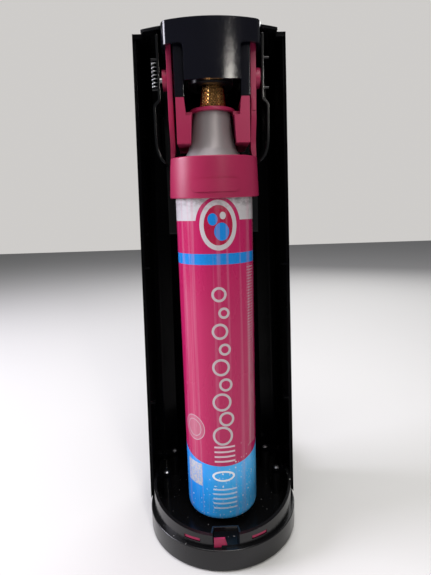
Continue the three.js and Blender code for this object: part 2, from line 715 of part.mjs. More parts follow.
function nozzleBlock() {
  const low = nozzleBlockLow;
  const flange = bridgeLow + bridgeWall + seat;
  const socket = nozzleRadius + seat;
  return turned([[0, low + nozzleSocket], [socket, low + nozzleSocket], [socket, low],
    [nozzleBlockRadius, low], [nozzleBlockRadius, flange], [nozzleFlange, flange], [nozzleFlange, flange + 3],
    [nozzleSpigot, flange + 4], [nozzleSpigot, nozzleBlockHigh], [0, nozzleBlockHigh]],
  [0, -bayCentre], 20);
}

function nozzle() {
  const top = nozzleBlockLow + nozzleSocket - seat;
  return turned([[0, nozzleLow], [nozzleRadius / 2, nozzleLow],
    [nozzleRadius * 0.8, nozzleLow + nozzleRadius * 2], [nozzleRadius, (nozzleLow + top) / 2],
    [nozzleRadius, top], [0, top]], [0, -bayCentre], 16);
}

function nozzleSeal() {
  const low = headLow + nozzleSealRise;
  const high = nozzleBlockLow - 0.5;
  const hole = nozzleRadius + seat;
  const rim = nozzleSealRadius;
  return turned([[hole, low], [rim * 0.8, low], [rim, low + 4], [rim, low + 8], [rim * 0.6, high],
    [hole, high], [hole, low]], [0, -bayCentre], 22);
}

function bottleHolder() {
  const low = holderLow;
  const high = headLow + 6;
  const throat = holderThroat;
  const ring = turned([[throat, low], [throat + 3.4, low], [throat + 8.9, low + 10], [throat + 9.4, high],
    [throat + 7, high], [throat + 6.6, low + 12], [throat, low + 6], [throat, low]], [0, -bayCentre], 22);
  const armOut = bracketInside - 4.9;
  const arms = both((side) => cut(
    joined(
      box(span(side, throat + 7.4, armOut), [-bayCentre - 5, -bayCentre + 5], [high - 8, holderPivot]),
      rodAlongX(5, span(side, throat + 7.4, armOut), [-bayCentre, holderPivot], 14)),
    rodAlongX(pinRadius + screwSlack, span(side, throat, armOut + 1), [-bayCentre, holderPivot])));
  const frontGap = box([-13, 13], [-bayCentre - 40, -bayCentre - 15], [low - 1, low + 15]);
  return cut(joined(ring, arms), frontGap);
}

// Tray
function dripTray() {
  const low = floorHeight + seat;
  const rim = ledgeHeight + seat;
  const inside = trayRadius - trayWall;
  return turned([[0, low], [trayRadius - 2, low], [trayRadius, low + 2], [trayRadius, rim],
    [trayRadius + trayFlange, rim], [trayRadius + trayFlange, rim + 1], [trayRadius + 1, rim + 1.8],
    [inside, rim + 1.8], [inside, rim - 1.2], [inside - 2, rim - 1.2], [inside - 2, low + 3.4],
    [inside - 4, low + 1.8], [0, low + 1.8]], [0, -bayCentre], 24);
}

function trayGrille() {
  const radius = trayRadius - trayWall - seat;
  const disc = polygon(arcPoints(0, 0, radius, 0, 2 * Math.PI, 24).slice(1));
  const holeRadius = 1.7;
  const rows = Math.floor((radius - 8) / grillePitch);
  for (let row = -rows; row <= rows; row += 1) {
    const half = Math.sqrt((radius - 6) ** 2 - (row * grillePitch) ** 2) - holeRadius;
    disc.holes.push(new THREE.Path([
      ...arcPoints(half, row * grillePitch, holeRadius, -Math.PI / 2, Math.PI / 2, 3),
      ...arcPoints(-half, row * grillePitch, holeRadius, Math.PI / 2, 1.5 * Math.PI, 3),
    ].map(([x, y]) => new THREE.Vector2(x, y))));
  }
  const low = ledgeHeight + seat - 1.2 + seat;
  const geometry = extrudedUp(disc, [low, low + grilleWall]);
  geometry.translate(0, -bayCentre, 0);
  return toSolid(geometry);
}

// Gas cylinder
function cylinderProfile(outset) {
  const body = sleeveRadius - sleeveWall - seat + outset;
  const neck = neckRadius + outset;
  const low = cylinderLow;
  const path = new THREE.Path();
  path.moveTo(body - heelRadius, low);
  path.quadraticCurveTo(body, low, body, low + heelRadius + 1.2);
  path.lineTo(body, shoulderHeight);
  path.bezierCurveTo(body, shoulderHeight + neckLength * 0.22, body - 6, shoulderHeight + neckLength * 0.34,
    neck + 4.6, shoulderHeight + neckLength * 0.46);
  path.bezierCurveTo(neck + 2.8, shoulderHeight + neckLength * 0.53, neck + 0.4,
    shoulderHeight + neckLength * 0.72, neck, shoulderHeight + neckLength * 0.95);
  path.lineTo(neck, neckHeight);
  return path.getPoints(4).map((point) => [point.x, point.y]);
}

function cylinderBody() {
  const bore = neckBore + seat;
  const wallInside = sleeveRadius - sleeveWall - seat - cylinderWall;
  const inner = [[bore, neckHeight + 1], [bore, shoulderHeight + 26], [wallInside - 6, shoulderHeight + 10],
    [wallInside, shoulderHeight - 4], [wallInside, cylinderLow + 8], [wallInside - 5, cylinderLow + 4.5],
    [0, cylinderLow + 4.5]];
  const outer = turned([[0, cylinderLow + 2], [sleeveRadius * 0.6, cylinderLow + 1.6],
    [sleeveRadius * 0.8, cylinderLow], ...cylinderProfile(0), [0, neckHeight]], [0, 0], 22);
  const cavity = turned(
    [[0, cylinderLow + 4.5], ...inner.slice(0, -1).reverse(), [0, neckHeight + 1]], [0, 0], 12);
  return cut(outer, cavity);
}

function labelSleeve() {
  const inside = sleeveRadius - sleeveWall;
  const [low, high] = [cylinderLow + heelRadius + 1.4, shoulderHeight + 1];
  return turned(
    [[inside, low], [sleeveRadius, low], [sleeveRadius, high], [inside, high], [inside, low]], [0, 0], 32);
}

const collarLow = neckHeight - collarHeight;

function neckCollar() {
  const inside = neckRadius + seat;
  return turned([[inside, collarLow], [collarRadius - 0.6, collarLow], [collarRadius, collarLow + 0.6],
    [collarRadius, neckHeight - 0.8], [collarRadius - 0.8, neckHeight], [inside, neckHeight],
    [inside, collarLow]], [0, 0], 22);
}

function cylinderValve() {
  const low = neckHeight + seat;
  const high = low + valveBodyHeight;
  const knurl = (radius) => Array.from({ length: knurlCount * 2 }, (_, i) => {
    const angle = Math.PI * i / knurlCount;
    const reach = radius - (i % 2 ? 0 : knurlDepth);
    return [reach * Math.cos(angle), reach * Math.sin(angle)];
  });
  const grip = toSolid(loft([
    level(knurl(valveRadius - 0.6), low), level(knurl(valveRadius), low + 1),
    level(knurl(valveTopRadius), low + valveTaper), level(knurl(valveTopRadius), high - 1),
    level(knurl(valveTopRadius - 0.6), high)]));
  const core = turned([[0, low - valveTaper], [neckBore, low - valveTaper], [neckBore, low + 0.5],
    [neckBore - 0.5, high], [valveNose, high], [valveNose, valveTop - 1], [valveNose - 1, valveTop],
    [0, valveTop]], [0, 0], 18);
  const bore = upright(valvePinRadius + seat, [0, 0], [high - 12, valveTop + 1], 16);
  return cut(joined(grip, core), bore);
}

function valveSeal() {
  const round = 1.1;
  const ringRadius = valveNose + seat + round;
  const low = neckHeight + seat + valveBodyHeight + seat;
  return turned(arcPoints(ringRadius, low + round, round, -Math.PI, Math.PI, 5), [0, 0], 18);
}

const valvePin = () => upright(valvePinRadius, [0, 0], [valveTop - 14, valveTop + pinRise], 16);

const plungerLow = valveTop + pinRise + seat;
const plunger = () => turned([[0, plungerLow], [1.6, plungerLow], [1.6, plungerHead - 2],
  [4.5, plungerHead - 2], [4.5, plungerHead - 0.8], [3, plungerHead], [0, plungerHead]], [0, 0], 16);

// Carrier, handle and lever
function carrier() {
  const inner = collarRadius + jawRoom;
  const throat = neckRadius + 0.4;
  const outer = throat + jawWidth;
  const shelf = collarLow - seat;
  const profile = (side) => polygon([[side * inner, jawHigh], [side * outer, jawHigh], [side * outer, jawLow],
    [side * (throat + 1.6), jawLow], [side * (throat + 0.5), jawStepLow], [side * throat, jawStepLow],
    [side * throat, shelf], [side * inner, shelf]]);
  const jaws = both((side) => extrudedAlongY(profile(side), [-yokeFront, jawRear]));
  const stepRoom = box(across(inner - 0.2), [jawStepRear, jawRear + 1], [jawStepLow, jawHigh + 1]);
  const yoke = box([-outer, outer], [-yokeFront, -yokeFront + yokeThickness], [jawLow, jawHigh]);
  const neckRoom = turned([[0, jawLow - 20], ...cylinderProfile(0.9), [0, neckHeight]]);
  const topRoom = upright(inner, [0, 0], [shelf, jawHigh + 1], 22);
  const earInside = armInside - 1.1 - earThickness;
  const ears = both((side) => box(span(side, earInside, earInside + earThickness), [-13, 6],
    [jawHigh - 6, handlePivotHeight + 6]));
  const slot = box(across(armInside), [-liftTravel - crankRadius - 0.9, crankRadius + 0.9],
    [handlePivotHeight - crankRadius - 1.9, handlePivotHeight + crankRadius + 0.5]);
  return cut(joined(cut(joined(jaws, yoke), neckRoom, topRoom, stepRoom), ears), slot);
}

// A bare raised plaque with round ends on the band's outside.
function plaque() {
  const middle = bandLow + plaqueHalfHeight + 4;
  const centre = plaqueHalfWidth - plaqueHalfHeight;
  const outline = polygon([
    ...arcPoints(centre, middle, plaqueHalfHeight, -Math.PI / 2, Math.PI / 2, 5),
    ...arcPoints(-centre, middle, plaqueHalfHeight, Math.PI / 2, 1.5 * Math.PI, 5)]);
  const skin = turned([[bandRadius - 1, bandLow], [bandRadius + plaqueRise, bandLow],
    [bandTopRadius + plaqueRise, bandHigh], [bandTopRadius - 1, bandHigh], [bandRadius - 1, bandLow]],
  [0, 0], 40);
  return extrudedAlongY(outline, [bandRadius / 2, bandRadius + 1]).intersect(skin);
}

function handle() {
  const bandPath = (radius) => [
    ...arcPoints(0, 0, radius, 0, Math.PI, 20),
    [-radius, -armDepth / 2], [bandWall - radius, -armDepth / 2],
    ...arcPoints(0, 0, radius - bandWall, Math.PI, 0, 20),
    [radius - bandWall, -armDepth / 2], [radius, -armDepth / 2]];
  const band = toSolid(loft([
    level(bandPath(bandRadius), bandLow), level(bandPath(bandTopRadius), bandHigh)]));
  const armOut = armInside + armThickness;
  const arms = both((side) => {
    const foot = bandTopRadius - 0.4;
    const profile = polygon([[side * armInside, bandHigh + 6], [side * (foot - bandWall + 0.4), bandHigh - 6],
      [side * foot, bandHigh - 6], [side * foot, bandHigh], [side * armOut, bandHigh + 10],
      [side * armOut, handlePivotHeight + armRise], [side * armInside, handlePivotHeight + armRise]]);
    return extrudedAlongY(profile, [-armDepth / 2, armDepth / 2]);
  });
  const hubs = both((side) => rodAlongX(hubRadius, span(side, armInside, armOut), [0, handlePivotHeight]));
  const bosses = both((side) => rodAlongX(bossRadius, span(side, armInside, armOut + bossReach),
    [0, handlePivotHeight]));
  const cranks = both((side) => rodAlongX(crankRadius, span(side, armInside - 3.4, armInside + 1),
    [-liftTravel, handlePivotHeight], 12));
  const holes = rodAlongX(pinRadius + screwSlack, across(cheekInside), [0, handlePivotHeight]);
  return joined(cut(joined(band, plaque(), arms, hubs, bosses), holes), cranks);
}

function lever() {
  const tip = -buttonCentre - 5;
  const half = leverThickness / 2;
  const side = polygon([[leverPivot + 3, leverHeight - half], [leverPivot + 3, leverHeight + half],
    [tip, leverHeight + half], [tip, leverHeight + half - 2], [tip + 14, leverHeight - half]]);
  const bar = extrudedAlongX(side, [-leverHalfWidth, leverHalfWidth]);
  const hole = rodAlongX(leverPinRadius + screwSlack, [-20, 20], [leverPivot, leverHeight]);
  const lighten = box([-leverHalfWidth + 1.6, leverHalfWidth - 1.6], [tip + 16, -8],
    [leverHeight - half + 1.8, leverHeight + half + 1]);
  return cut(bar, hole, lighten);
}

const buttonTop = rimHeight + crownRise + buttonRise;

function button() {
  const edge = buttonTop - 4.5;
  const low = rimHeight + 9;
  const wall = buttonWall;
  const stemLow = leverHeight + leverThickness / 2 + seat;
  return turned([[0, stemLow], [stemRadius - 1, stemLow], [stemRadius, stemLow + 1.2],
    [stemRadius, buttonTop - wall - 1.2],
    [buttonRadius - wall - 4, edge - wall + 0.6],
    [buttonRadius - wall, edge - wall - 1.6], [buttonRadius - wall, low], [buttonRadius, low],
    [buttonRadius, edge - 1.2], [buttonRadius - 1.4, edge + 0.6], [buttonRadius * 0.75, edge + 2.7],
    [buttonRadius * 0.4, edge + 4], [0, buttonTop]], [0, -buttonCentre], 26);
}

function coil(radius, wire, [x, y], [z0, z1], turns) {
  class Helix extends THREE.Curve {
    getPoint(t, target = new THREE.Vector3()) {
      const angle = 2 * Math.PI * turns * t;
      return target.set(x + radius * Math.cos(angle), y + radius * Math.sin(angle), z0 + (z1 - z0) * t);
    }
  }
  const section = polygon(arcPoints(0, 0, wire, 0, 2 * Math.PI, 4).slice(1));
  const geometry = new THREE.ExtrudeGeometry(section, { steps: turns * 7, extrudePath: new Helix() });
  return toSolid(geometry);
}

// The latch bar lies inside the lip and passes under the pocket. Its tongues fill the slots, and the rear
// cover's hook catches on its tab.
function latchBar() {
  const outside = lipInside - slack;
  const inside = outside - barThickness;
  const low = floorHeight + seat;
  const arcBar = (from, to, heights) => toSolid(extrudedUp(polygon([
    ...arcPoints(0, 0, outside, from, to, 8), ...arcPoints(0, 0, inside, to, from, 8)]), heights));
  const bridge = arcBar(Math.PI / 2 - barHalfAngle, Math.PI / 2 + barHalfAngle, [low, low + barBridge]);
  const clear = Math.asin((notchWidth / 2 + pocketWall + slack) / inside);
  const blades = joined(
    arcBar(Math.PI / 2 - barHalfAngle, Math.PI / 2 - clear, [low, barHigh]),
    arcBar(Math.PI / 2 + clear, Math.PI / 2 + barHalfAngle, [low, barHigh]));
  const tongues = both((side) => {
    const near = slotOffset - slotWidth / 2 + 0.4;
    const far = slotOffset + slotWidth / 2 - 0.4;
    const arc = (radius) => (x) => [side * x, Math.sqrt(radius ** 2 - x ** 2)];
    const outer = [near, (near + far) / 2, far].map(arc(lipRadius - 0.7));
    const inner = [far, (near + far) / 2, near].map(arc(inside + 0.8));
    return toSolid(extrudedUp(polygon(side > 0 ? [...outer, ...inner].reverse() : [...outer, ...inner]),
      [slotLow + seat, slotLow + slotHeight - seat]));
  });
  const tabSide = notchWidth / 2 - 1;
  const tabLow = ledgeHeight + seat;
  const tabHigh = barHigh + 0.4;
  const tabFace = lipRadius - 0.4;
  const tab = extrudedAlongY(polygon([[tabSide, tabLow], [tabSide, tabHigh], [0.9, tabHigh],
    [-0.6, tabLow + 1.6], [3.6, tabLow + 1.6], [3.6, tabLow]]), [tabFace - 1.6, tabFace]);
  const stem = joined(
    box([4, 8], [inside, tabFace - 1], [tabLow, tabLow + 2]),
    box([4, 8], [inside, outside - 0.4], [low, tabLow + 2]));
  return joined(bridge, blades, tongues, tab, stem);
}

// Screws and pins
function screwDown([x, y], seatHeight, length) {
  return joined(
    upright(screwRadius, [x, y], [seatHeight - length, seatHeight + 1], 10),
    turned([[0, seatHeight + seat], [2.9, seatHeight + seat], [2.9, seatHeight + 1.3], [2, seatHeight + 2.3],
      [0, seatHeight + 2.6]], [x, y], 10));
}

function frameScrew([x, z]) {
  return joined(
    rodAlongY(screwRadius - seat, [panelBack - 3.2, panelFace + 1], [x, z], 10),
    rodAlongY(2.8, [panelFace + seat, panelFace + 1.9], [x, z]));
}

// Materials
const finish = (color, roughness, metalness = 0) => (
  new THREE.MeshStandardMaterial({ color, roughness, metalness }));
const glossBlack = finish(0x0c0d10, 0.22);
const hoodGrey = finish(0x23242b, 0.38);
const satinBlack = finish(0x15161a, 0.5);
const magenta = finish(0x9d1f52, 0.42);
const brass = finish(0xb98a3a, 0.32, 1);
const aluminium = finish(0xb9b6b8, 0.45, 0.7);
const steel = finish(0x9a9da1, 0.35, 1);
const sleeveInk = finish(0xc21f56, 0.3);
const rubber = finish(0x17171a, 0.85);
const tubePlastic = finish(0xd8d8d4, 0.5);

const machine = new THREE.Group();

function place(name, solid, material) {
  const mesh = new THREE.Mesh(toGeometry(solid), material);
  mesh.name = name;
  machine.add(mesh);
}

place('base_housing', baseHousing(), glossBlack);
place('column_shell', columnShell(), glossBlack);
place('head_housing', headHousing(), glossBlack);
place('top_cap', topCap(), glossBlack);
place('inner_frame', innerFrame(), satinBlack);
place('hood', hood(), hoodGrey);
place('gas_head', gasHead(), satinBlack);
place('seat_seal', seatSeal(), rubber);
place('relief_valve', reliefValve(), brass);
place('gas_tube', gasTube(), tubePlastic);
place('tube_nut', tubeNut(), brass);
place('nozzle_block', nozzleBlock(), satinBlack);
place('nozzle', nozzle(), tubePlastic);
place('nozzle_seal', nozzleSeal(), rubber);
place('bottle_holder', bottleHolder(), satinBlack);
place('drip_tray', dripTray(), glossBlack);
place('tray_grille', trayGrille(), satinBlack);
place('latch_bar', latchBar(), magenta);
place('handle', handle(), magenta);
place('carrier', carrier(), magenta);
place('cylinder_body', cylinderBody(), aluminium);
place('label_sleeve', labelSleeve(), sleeveInk);
place('neck_collar', neckCollar(), magenta);
place('cylinder_valve', cylinderValve(), brass);
place('valve_seal', valveSeal(), rubber);
place('valve_pin', valvePin(), steel);
place('plunger', plunger(), steel);
place('lever', lever(), satinBlack);
place('lever_pin', rodAlongX(
  leverPinRadius, [-leverHalfWidth - 3.4, leverHalfWidth + 3.4], [leverPivot, leverHeight]), steel);
place('button', button(), glossBlack);
place('button_spring', coil(7, 0.6, [0, -buttonCentre], [guideHigh + 1, buttonTop - 6.2], 5), steel);
place('detent_spring', coil(
  detentRadius, detentWire, [springAxis, 2], [pegHeights[0] + 1.8, pegHeights[1] - 1.8], 6), steel);
for (const [end, side] of [['right', 1], ['left', -1]]) {
  place(`handle_pin_${end}`, rodAlongX(pinRadius, span(side, armInside + 0.4, cheekInside + cheekWall),
    [0, handlePivotHeight]), steel);
  place(`holder_pin_${end}`, rodAlongX(pinRadius, span(side, holderThroat + 7.8, bracketInside + 3),
    [-bayCentre, holderPivot]), steel);
}
postPlaces.forEach((at, i) => place(`post_screw_${i + 1}`, screwDown(at, lugHigh, screwLength), steel));
framePlaces.forEach((at, i) => place(`frame_screw_${i + 1}`, frameScrew(at), steel));
padCentres.forEach((at, i) => place(
  `foot_pad_${i + 1}`, upright(padRadius, at, [0, footClearance + 1.4]), rubber));

// The origin is on the table, under the middle of the foot.
machine.position.y = footFront / 2;

export default machine;
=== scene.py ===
# Soda carbonator with its rear cover off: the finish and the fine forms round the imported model.
import json
import math

import bpy
from mathutils import Matrix, Vector

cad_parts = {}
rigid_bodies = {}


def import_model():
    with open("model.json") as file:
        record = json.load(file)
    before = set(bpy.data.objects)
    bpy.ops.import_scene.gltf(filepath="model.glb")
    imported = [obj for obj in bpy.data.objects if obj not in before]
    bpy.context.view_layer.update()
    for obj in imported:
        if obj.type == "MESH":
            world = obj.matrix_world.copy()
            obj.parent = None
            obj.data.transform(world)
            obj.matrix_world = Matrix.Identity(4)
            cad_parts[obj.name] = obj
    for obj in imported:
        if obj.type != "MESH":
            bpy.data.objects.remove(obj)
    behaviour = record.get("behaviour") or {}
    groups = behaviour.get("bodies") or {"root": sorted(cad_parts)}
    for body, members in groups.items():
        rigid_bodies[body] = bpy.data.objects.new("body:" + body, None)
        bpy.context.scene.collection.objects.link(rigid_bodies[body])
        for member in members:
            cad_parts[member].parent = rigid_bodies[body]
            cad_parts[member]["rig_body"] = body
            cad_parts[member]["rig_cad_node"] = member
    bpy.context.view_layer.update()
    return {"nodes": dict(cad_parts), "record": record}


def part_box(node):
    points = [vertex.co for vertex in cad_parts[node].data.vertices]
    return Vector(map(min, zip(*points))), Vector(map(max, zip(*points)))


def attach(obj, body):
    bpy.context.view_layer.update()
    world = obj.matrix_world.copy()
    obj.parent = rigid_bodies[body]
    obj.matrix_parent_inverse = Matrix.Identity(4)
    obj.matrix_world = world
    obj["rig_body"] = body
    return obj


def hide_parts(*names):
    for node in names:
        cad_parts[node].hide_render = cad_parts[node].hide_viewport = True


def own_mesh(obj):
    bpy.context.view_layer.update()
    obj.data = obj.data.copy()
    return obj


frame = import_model()
mm = 0.001
print("frame loaded,", len(frame["nodes"]), "nodes")

# Lines that many pieces share. A piece's lengths are in mm, and its x and y are counted from the gas cylinder's axis.
# The camera, the lamps and the floor are in metres, from the frame's origin, and so is axisY.
cylinderLow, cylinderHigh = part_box("cylinder_body")
axisY = (cylinderLow.y + cylinderHigh.y) / 2
bottleY, buttonY = -86.5, -80  # the bottle's axis and the button's
pinRoom, screwRoom = 2.15, 1.7  # radii of the holes that pins and screws go through


def put(x, y, z):
    return Vector((x * mm, axisY + y * mm, z * mm))


def edgesOf(node):  # the low and the high corner of a node's box
    low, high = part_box(node)
    return ([low.x / mm, (low.y - axisY) / mm, low.z / mm], [high.x / mm, (high.y - axisY) / mm, high.z / mm])


def middleOf(node):
    return [(a + b) / 2 for a, b in zip(*edgesOf(node))]


def middlesOf(stem):  # of four numbered nodes
    return [middleOf(f"{stem}_{number}") for number in range(1, 5)]


pivotZ = edgesOf("handle")[1][2] - 22.5  # the handle turns at this height
ringTop = edgesOf("neck_collar")[1][2]  # top of the ring on the gas cylinder's neck
tubeMouthLow = edgesOf("gas_tube")[1][2] - 2.5 - 4  # the gas tube goes from the frame to the head above this height
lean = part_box("top_cap")[1].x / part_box("column_shell")[1].x  # the column's width at its top, as a share of its foot's


# Camera, light and floor
camera = {"place": (0.00934, axisY + 0.3324, 0.26778), "down": 10.122, "turn": 1.453, "roll": -1.713,
          "lens": 25.757, "sensor": 36, "clip": 0.02}
lamps = {
    "sideLamp": {"place": (1.22, 0.03, 0.72), "aim": (0, 0, 0.25), "size": 0.6, "power": 20, "colour": (0.9, 0.88, 1)},
    "spotLamp": {"place": (-0.4, 1.17, 0.685), "aim": (0, 0, 0.3), "size": 0.08, "power": 2.1,
                 "colour": (1, 0.95, 0.88)},
    "fillLamp": {"place": (-0.2, 0.9, 1.2), "aim": (0, 0, 0.2), "size": 0.5, "power": 5, "colour": (1, 0.97, 0.93)},
    "frontLamp": {"place": (-0.5, -1.1, 0.9), "aim": (0, 0, 0.2), "size": 0.8, "power": 7, "colour": (1, 1, 1)},
    "topLamp": {"place": (0.1, 0.15, 1.5), "aim": (0, 0, 0), "size": 0.9, "power": 10, "colour": (1, 1, 1)},
}
floorLook = {"size": 6, "colour": (0.74, 0.73, 0.715, 1), "roughness": 0.55, "tone": 0.97}
worldLook = {"light": (0.62, 0.63, 0.65, 1), "strength": 0.22, "seen": (0.62, 0.605, 0.59, 1)}


def makeCamera():
    down, turn, roll = (math.radians(camera[key]) for key in ("down", "turn", "roll"))
    ahead = Vector((-math.sin(turn) * math.cos(down), -math.cos(turn) * math.cos(down), -math.sin(down)))
    side = Vector((-math.cos(turn), math.sin(turn), 0))
    above = side.cross(ahead)
    right = math.cos(roll) * side + math.sin(roll) * above
    up = -math.sin(roll) * side + math.cos(roll) * above
    bpy.ops.object.camera_add(location=camera["place"])
    made = bpy.context.object
    made.name = "viewCamera"
    made.rotation_mode = "QUATERNION"
    made.rotation_quaternion = Matrix((right, up, -ahead)).transposed().to_quaternion()
    made.data.lens = camera["lens"]
    made.data.sensor_width = camera["sensor"]
    made.data.clip_start = camera["clip"]
    bpy.context.scene.camera = made


def makeLamps():
    for name, lamp in lamps.items():
        bpy.ops.object.light_add(type="AREA", location=lamp["place"])
        made = bpy.context.object
        made.name = name
        made.data.size = lamp["size"]
        made.data.energy = lamp["power"]
        made.data.color = lamp["colour"]
        towards = Vector(lamp["aim"]) - Vector(lamp["place"])
        made.rotation_euler = towards.to_track_quat("-Z", "Y").to_euler()


def makeWorld():
    world = bpy.data.worlds.new("studio")
    bpy.context.scene.world = world
    world.use_nodes = True
    nodes, links = world.node_tree.nodes, world.node_tree.links
    room = nodes["Background"]
    room.inputs["Color"].default_value = worldLook["light"]
    room.inputs["Strength"].default_value = worldLook["strength"]
    seen = nodes.new("ShaderNodeBackground")
    seen.inputs["Color"].default_value = worldLook["seen"]
    path = nodes.new("ShaderNodeLightPath")
    mix = nodes.new("ShaderNodeMixShader")
    links.new(path.outputs["Is Camera Ray"], mix.inputs["Fac"])
    links.new(room.outputs["Background"], mix.inputs[1])
    links.new(seen.outputs["Background"], mix.inputs[2])
    links.new(mix.outputs["Shader"], nodes["World Output"].inputs["Surface"])


bpy.context.scene.view_settings.view_transform = "Standard"
makeCamera()
makeLamps()
makeWorld()
print("camera and lamps set")


# Material helpers
def startMaterial(name, look):
    material = bpy.data.materials.new(name)
    material.use_nodes = True
    shader = material.node_tree.nodes["Principled BSDF"]
    for socket, value in look.items():
        shader.inputs[socket].default_value = value
    return material, material.node_tree, shader


def addNode(tree, kind, settings=None, inputs=None):
    node = tree.nodes.new(kind)
    for key, value in (settings or {}).items():
        setattr(node, key, value)
    for key, value in (inputs or {}).items():
        if isinstance(value, bpy.types.NodeSocket):
            tree.links.new(value, node.inputs[key])
        else:
            node.inputs[key].default_value = value
    return node


def reckon(tree, operation, *given):
    return addNode(tree, "ShaderNodeMath", {"operation": operation}, dict(enumerate(given))).outputs[0]


def objectPlace(tree, stretch=(1, 1, 1), shift=(0, 0, 0)):
    source = addNode(tree, "ShaderNodeTexCoord").outputs["Object"]
    return addNode(tree, "ShaderNodeMapping", None, {"Vector": source, "Scale": stretch, "Location": shift}).outputs[0]


def cloud(tree, place, scale, detail=3.0, roughness=0.5):
    return addNode(tree, "ShaderNodeTexNoise", None,
                   {"Vector": place, "Scale": scale, "Detail": detail, "Roughness": roughness}).outputs["Fac"]


def spread(tree, value, fromLow, fromHigh, low, high):
    return addNode(tree, "ShaderNodeMapRange", None, {
        "Value": value, "From Min": fromLow, "From Max": fromHigh, "To Min": low, "To Max": high}).outputs[0]


def blendColour(tree, share, first, second):
    return addNode(tree, "ShaderNodeMix", {"data_type": "RGBA"}, {0: share, 6: first, 7: second}).outputs[2]


def darker(colour, share):
    return tuple(part * share for part in colour[:3]) + (1,)


def setBump(tree, shader, height, strength, distance=0.0002):
    bump = addNode(tree, "ShaderNodeBump", None, {"Height": height, "Strength": strength, "Distance": distance})
    tree.links.new(bump.outputs["Normal"], shader.inputs["Normal"])


# Moulded plastics: a smear that varies the gloss, a fine grain, and a little dust where a face looks up
dust = {"colour": (0.35, 0.34, 0.33, 1), "scale": 900, "from": 0.66, "soft": 0.06, "facing": (0.6, 0.95)}
mottle = {"smear": (0.32, 0.68), "tone": (0.3, 0.7), "toneScale": 0.6, "dark": 0.86}
plastics = {
    "gloss_black": {"colour": (0.0035, 0.0036, 0.0044, 1), "gloss": (0.13, 0.28), "shine": 0.25, "smear": 34,
                    "grain": 1500, "depth": 0.06, "dust": 0.4},
    "satin_black": {"colour": (0.003, 0.0031, 0.004, 1), "gloss": (0.26, 0.4), "shine": 0.17, "smear": 46,
                    "grain": 2400, "depth": 0.16, "dust": 0.25},
    "hood_black": {"colour": (0.0035, 0.0036, 0.0075, 1), "gloss": (0.1, 0.14), "shine": 0.36, "smear": 30,
                   "grain": 1000, "depth": 0.35, "dust": 0.2},
    "magenta": {"colour": (0.38, 0.02, 0.082, 1), "gloss": (0.32, 0.42), "shine": 0.34, "smear": 38, "grain": 1700,
                "depth": 0.12, "dust": 0.12},
    "frame_black": {"colour": (0.0025, 0.0026, 0.0034, 1), "gloss": (0.13, 0.2), "shine": 0.42, "smear": 46,
                    "grain": 2000, "depth": 0.08, "dust": 0.25},
    # the column: gloss black made darker and duller, painted shade for its dark inside
    "column_black_shaded": {"colour": (0.0016, 0.0017, 0.0023, 1), "gloss": (0.13, 0.28), "shine": 0.05, "smear": 34,
                     "grain": 1500, "depth": 0.06, "dust": 0.4},
    "foot_black": {"colour": (0.005, 0.005, 0.0056, 1), "gloss": (0.18, 0.28), "shine": 0.42, "smear": 34,
                   "grain": 1500, "depth": 0.08, "dust": 1, "dustScale": 330, "dustFrom": 0.7},
    "rubber": {"colour": (0.014, 0.014, 0.015, 1), "gloss": (0.62, 0.78), "shine": 0.4, "smear": 60, "grain": 2600,
               "depth": 0.3, "dust": 0.2},
    "tube_plastic": {"colour": (0.5, 0.5, 0.48, 1), "gloss": (0.36, 0.5), "shine": 0.5, "smear": 50, "grain": 1600,
                     "depth": 0.1, "dust": 0},
}


def makePlastic(name, look):
    material, tree, shader = startMaterial(name, {"Specular IOR Level": look["shine"]})
    place = objectPlace(tree)
    smear = cloud(tree, place, look["smear"], 4)
    tree.links.new(spread(tree, smear, *mottle["smear"], *look["gloss"]), shader.inputs["Roughness"])
    tone = spread(tree, cloud(tree, place, look["smear"] * mottle["toneScale"], 2), *mottle["tone"], 0, 1)
    colour = blendColour(tree, tone, darker(look["colour"], mottle["dark"]), look["colour"])
    if look["dust"]:
        specks = cloud(tree, place, look.get("dustScale", dust["scale"]), 2)
        start = look.get("dustFrom", dust["from"])
        speck = spread(tree, specks, start, start + dust["soft"], 0, look["dust"])
        facing = addNode(tree, "ShaderNodeSeparateXYZ", None,
                         {0: addNode(tree, "ShaderNodeNewGeometry").outputs["Normal"]}).outputs["Z"]
        lying = reckon(tree, "MULTIPLY", speck, spread(tree, facing, *dust["facing"], 0, 1))
        colour = blendColour(tree, lying, colour, dust["colour"])
    tree.links.new(colour, shader.inputs["Base Color"])
    setBump(tree, shader, cloud(tree, place, look["grain"], 2), look["depth"])
    return material


# Metals
metals = {
    "aluminium": {"colour": (0.3, 0.272, 0.278, 1), "metal": 0.3, "gloss": (0.4, 0.5), "stretch": (1, 1, 0.2),
                  "scale": 500, "depth": 0.08},
    "brass": {"colour": (0.86, 0.43, 0.14, 1), "metal": 1, "gloss": (0.14, 0.3), "stretch": (1, 1, 1),
              "scale": 900, "depth": 0.25},
    "steel": {"colour": (0.52, 0.52, 0.54, 1), "metal": 1, "gloss": (0.2, 0.36), "stretch": (1, 1, 1),
              "scale": 1200, "depth": 0.12},
}
stain = {"wear": (0.3, 0.7), "scale": 0.08, "cloud": (0.35, 0.7), "strength": 0.35, "dark": 0.6}


def makeMetal(name, look):
    material, tree, shader = startMaterial(name, {"Metallic": look["metal"]})
    place = objectPlace(tree, look["stretch"])
    wear = cloud(tree, place, look["scale"], 3)
    tree.links.new(spread(tree, wear, *stain["wear"], *look["gloss"]), shader.inputs["Roughness"])
    patches = spread(tree, cloud(tree, place, look["scale"] * stain["scale"], 3), *stain["cloud"], 0, stain["strength"])
    colour = blendColour(tree, patches, look["colour"], darker(look["colour"], stain["dark"]))
    tree.links.new(colour, shader.inputs["Base Color"])
    setBump(tree, shader, wear, look["depth"])
    return material


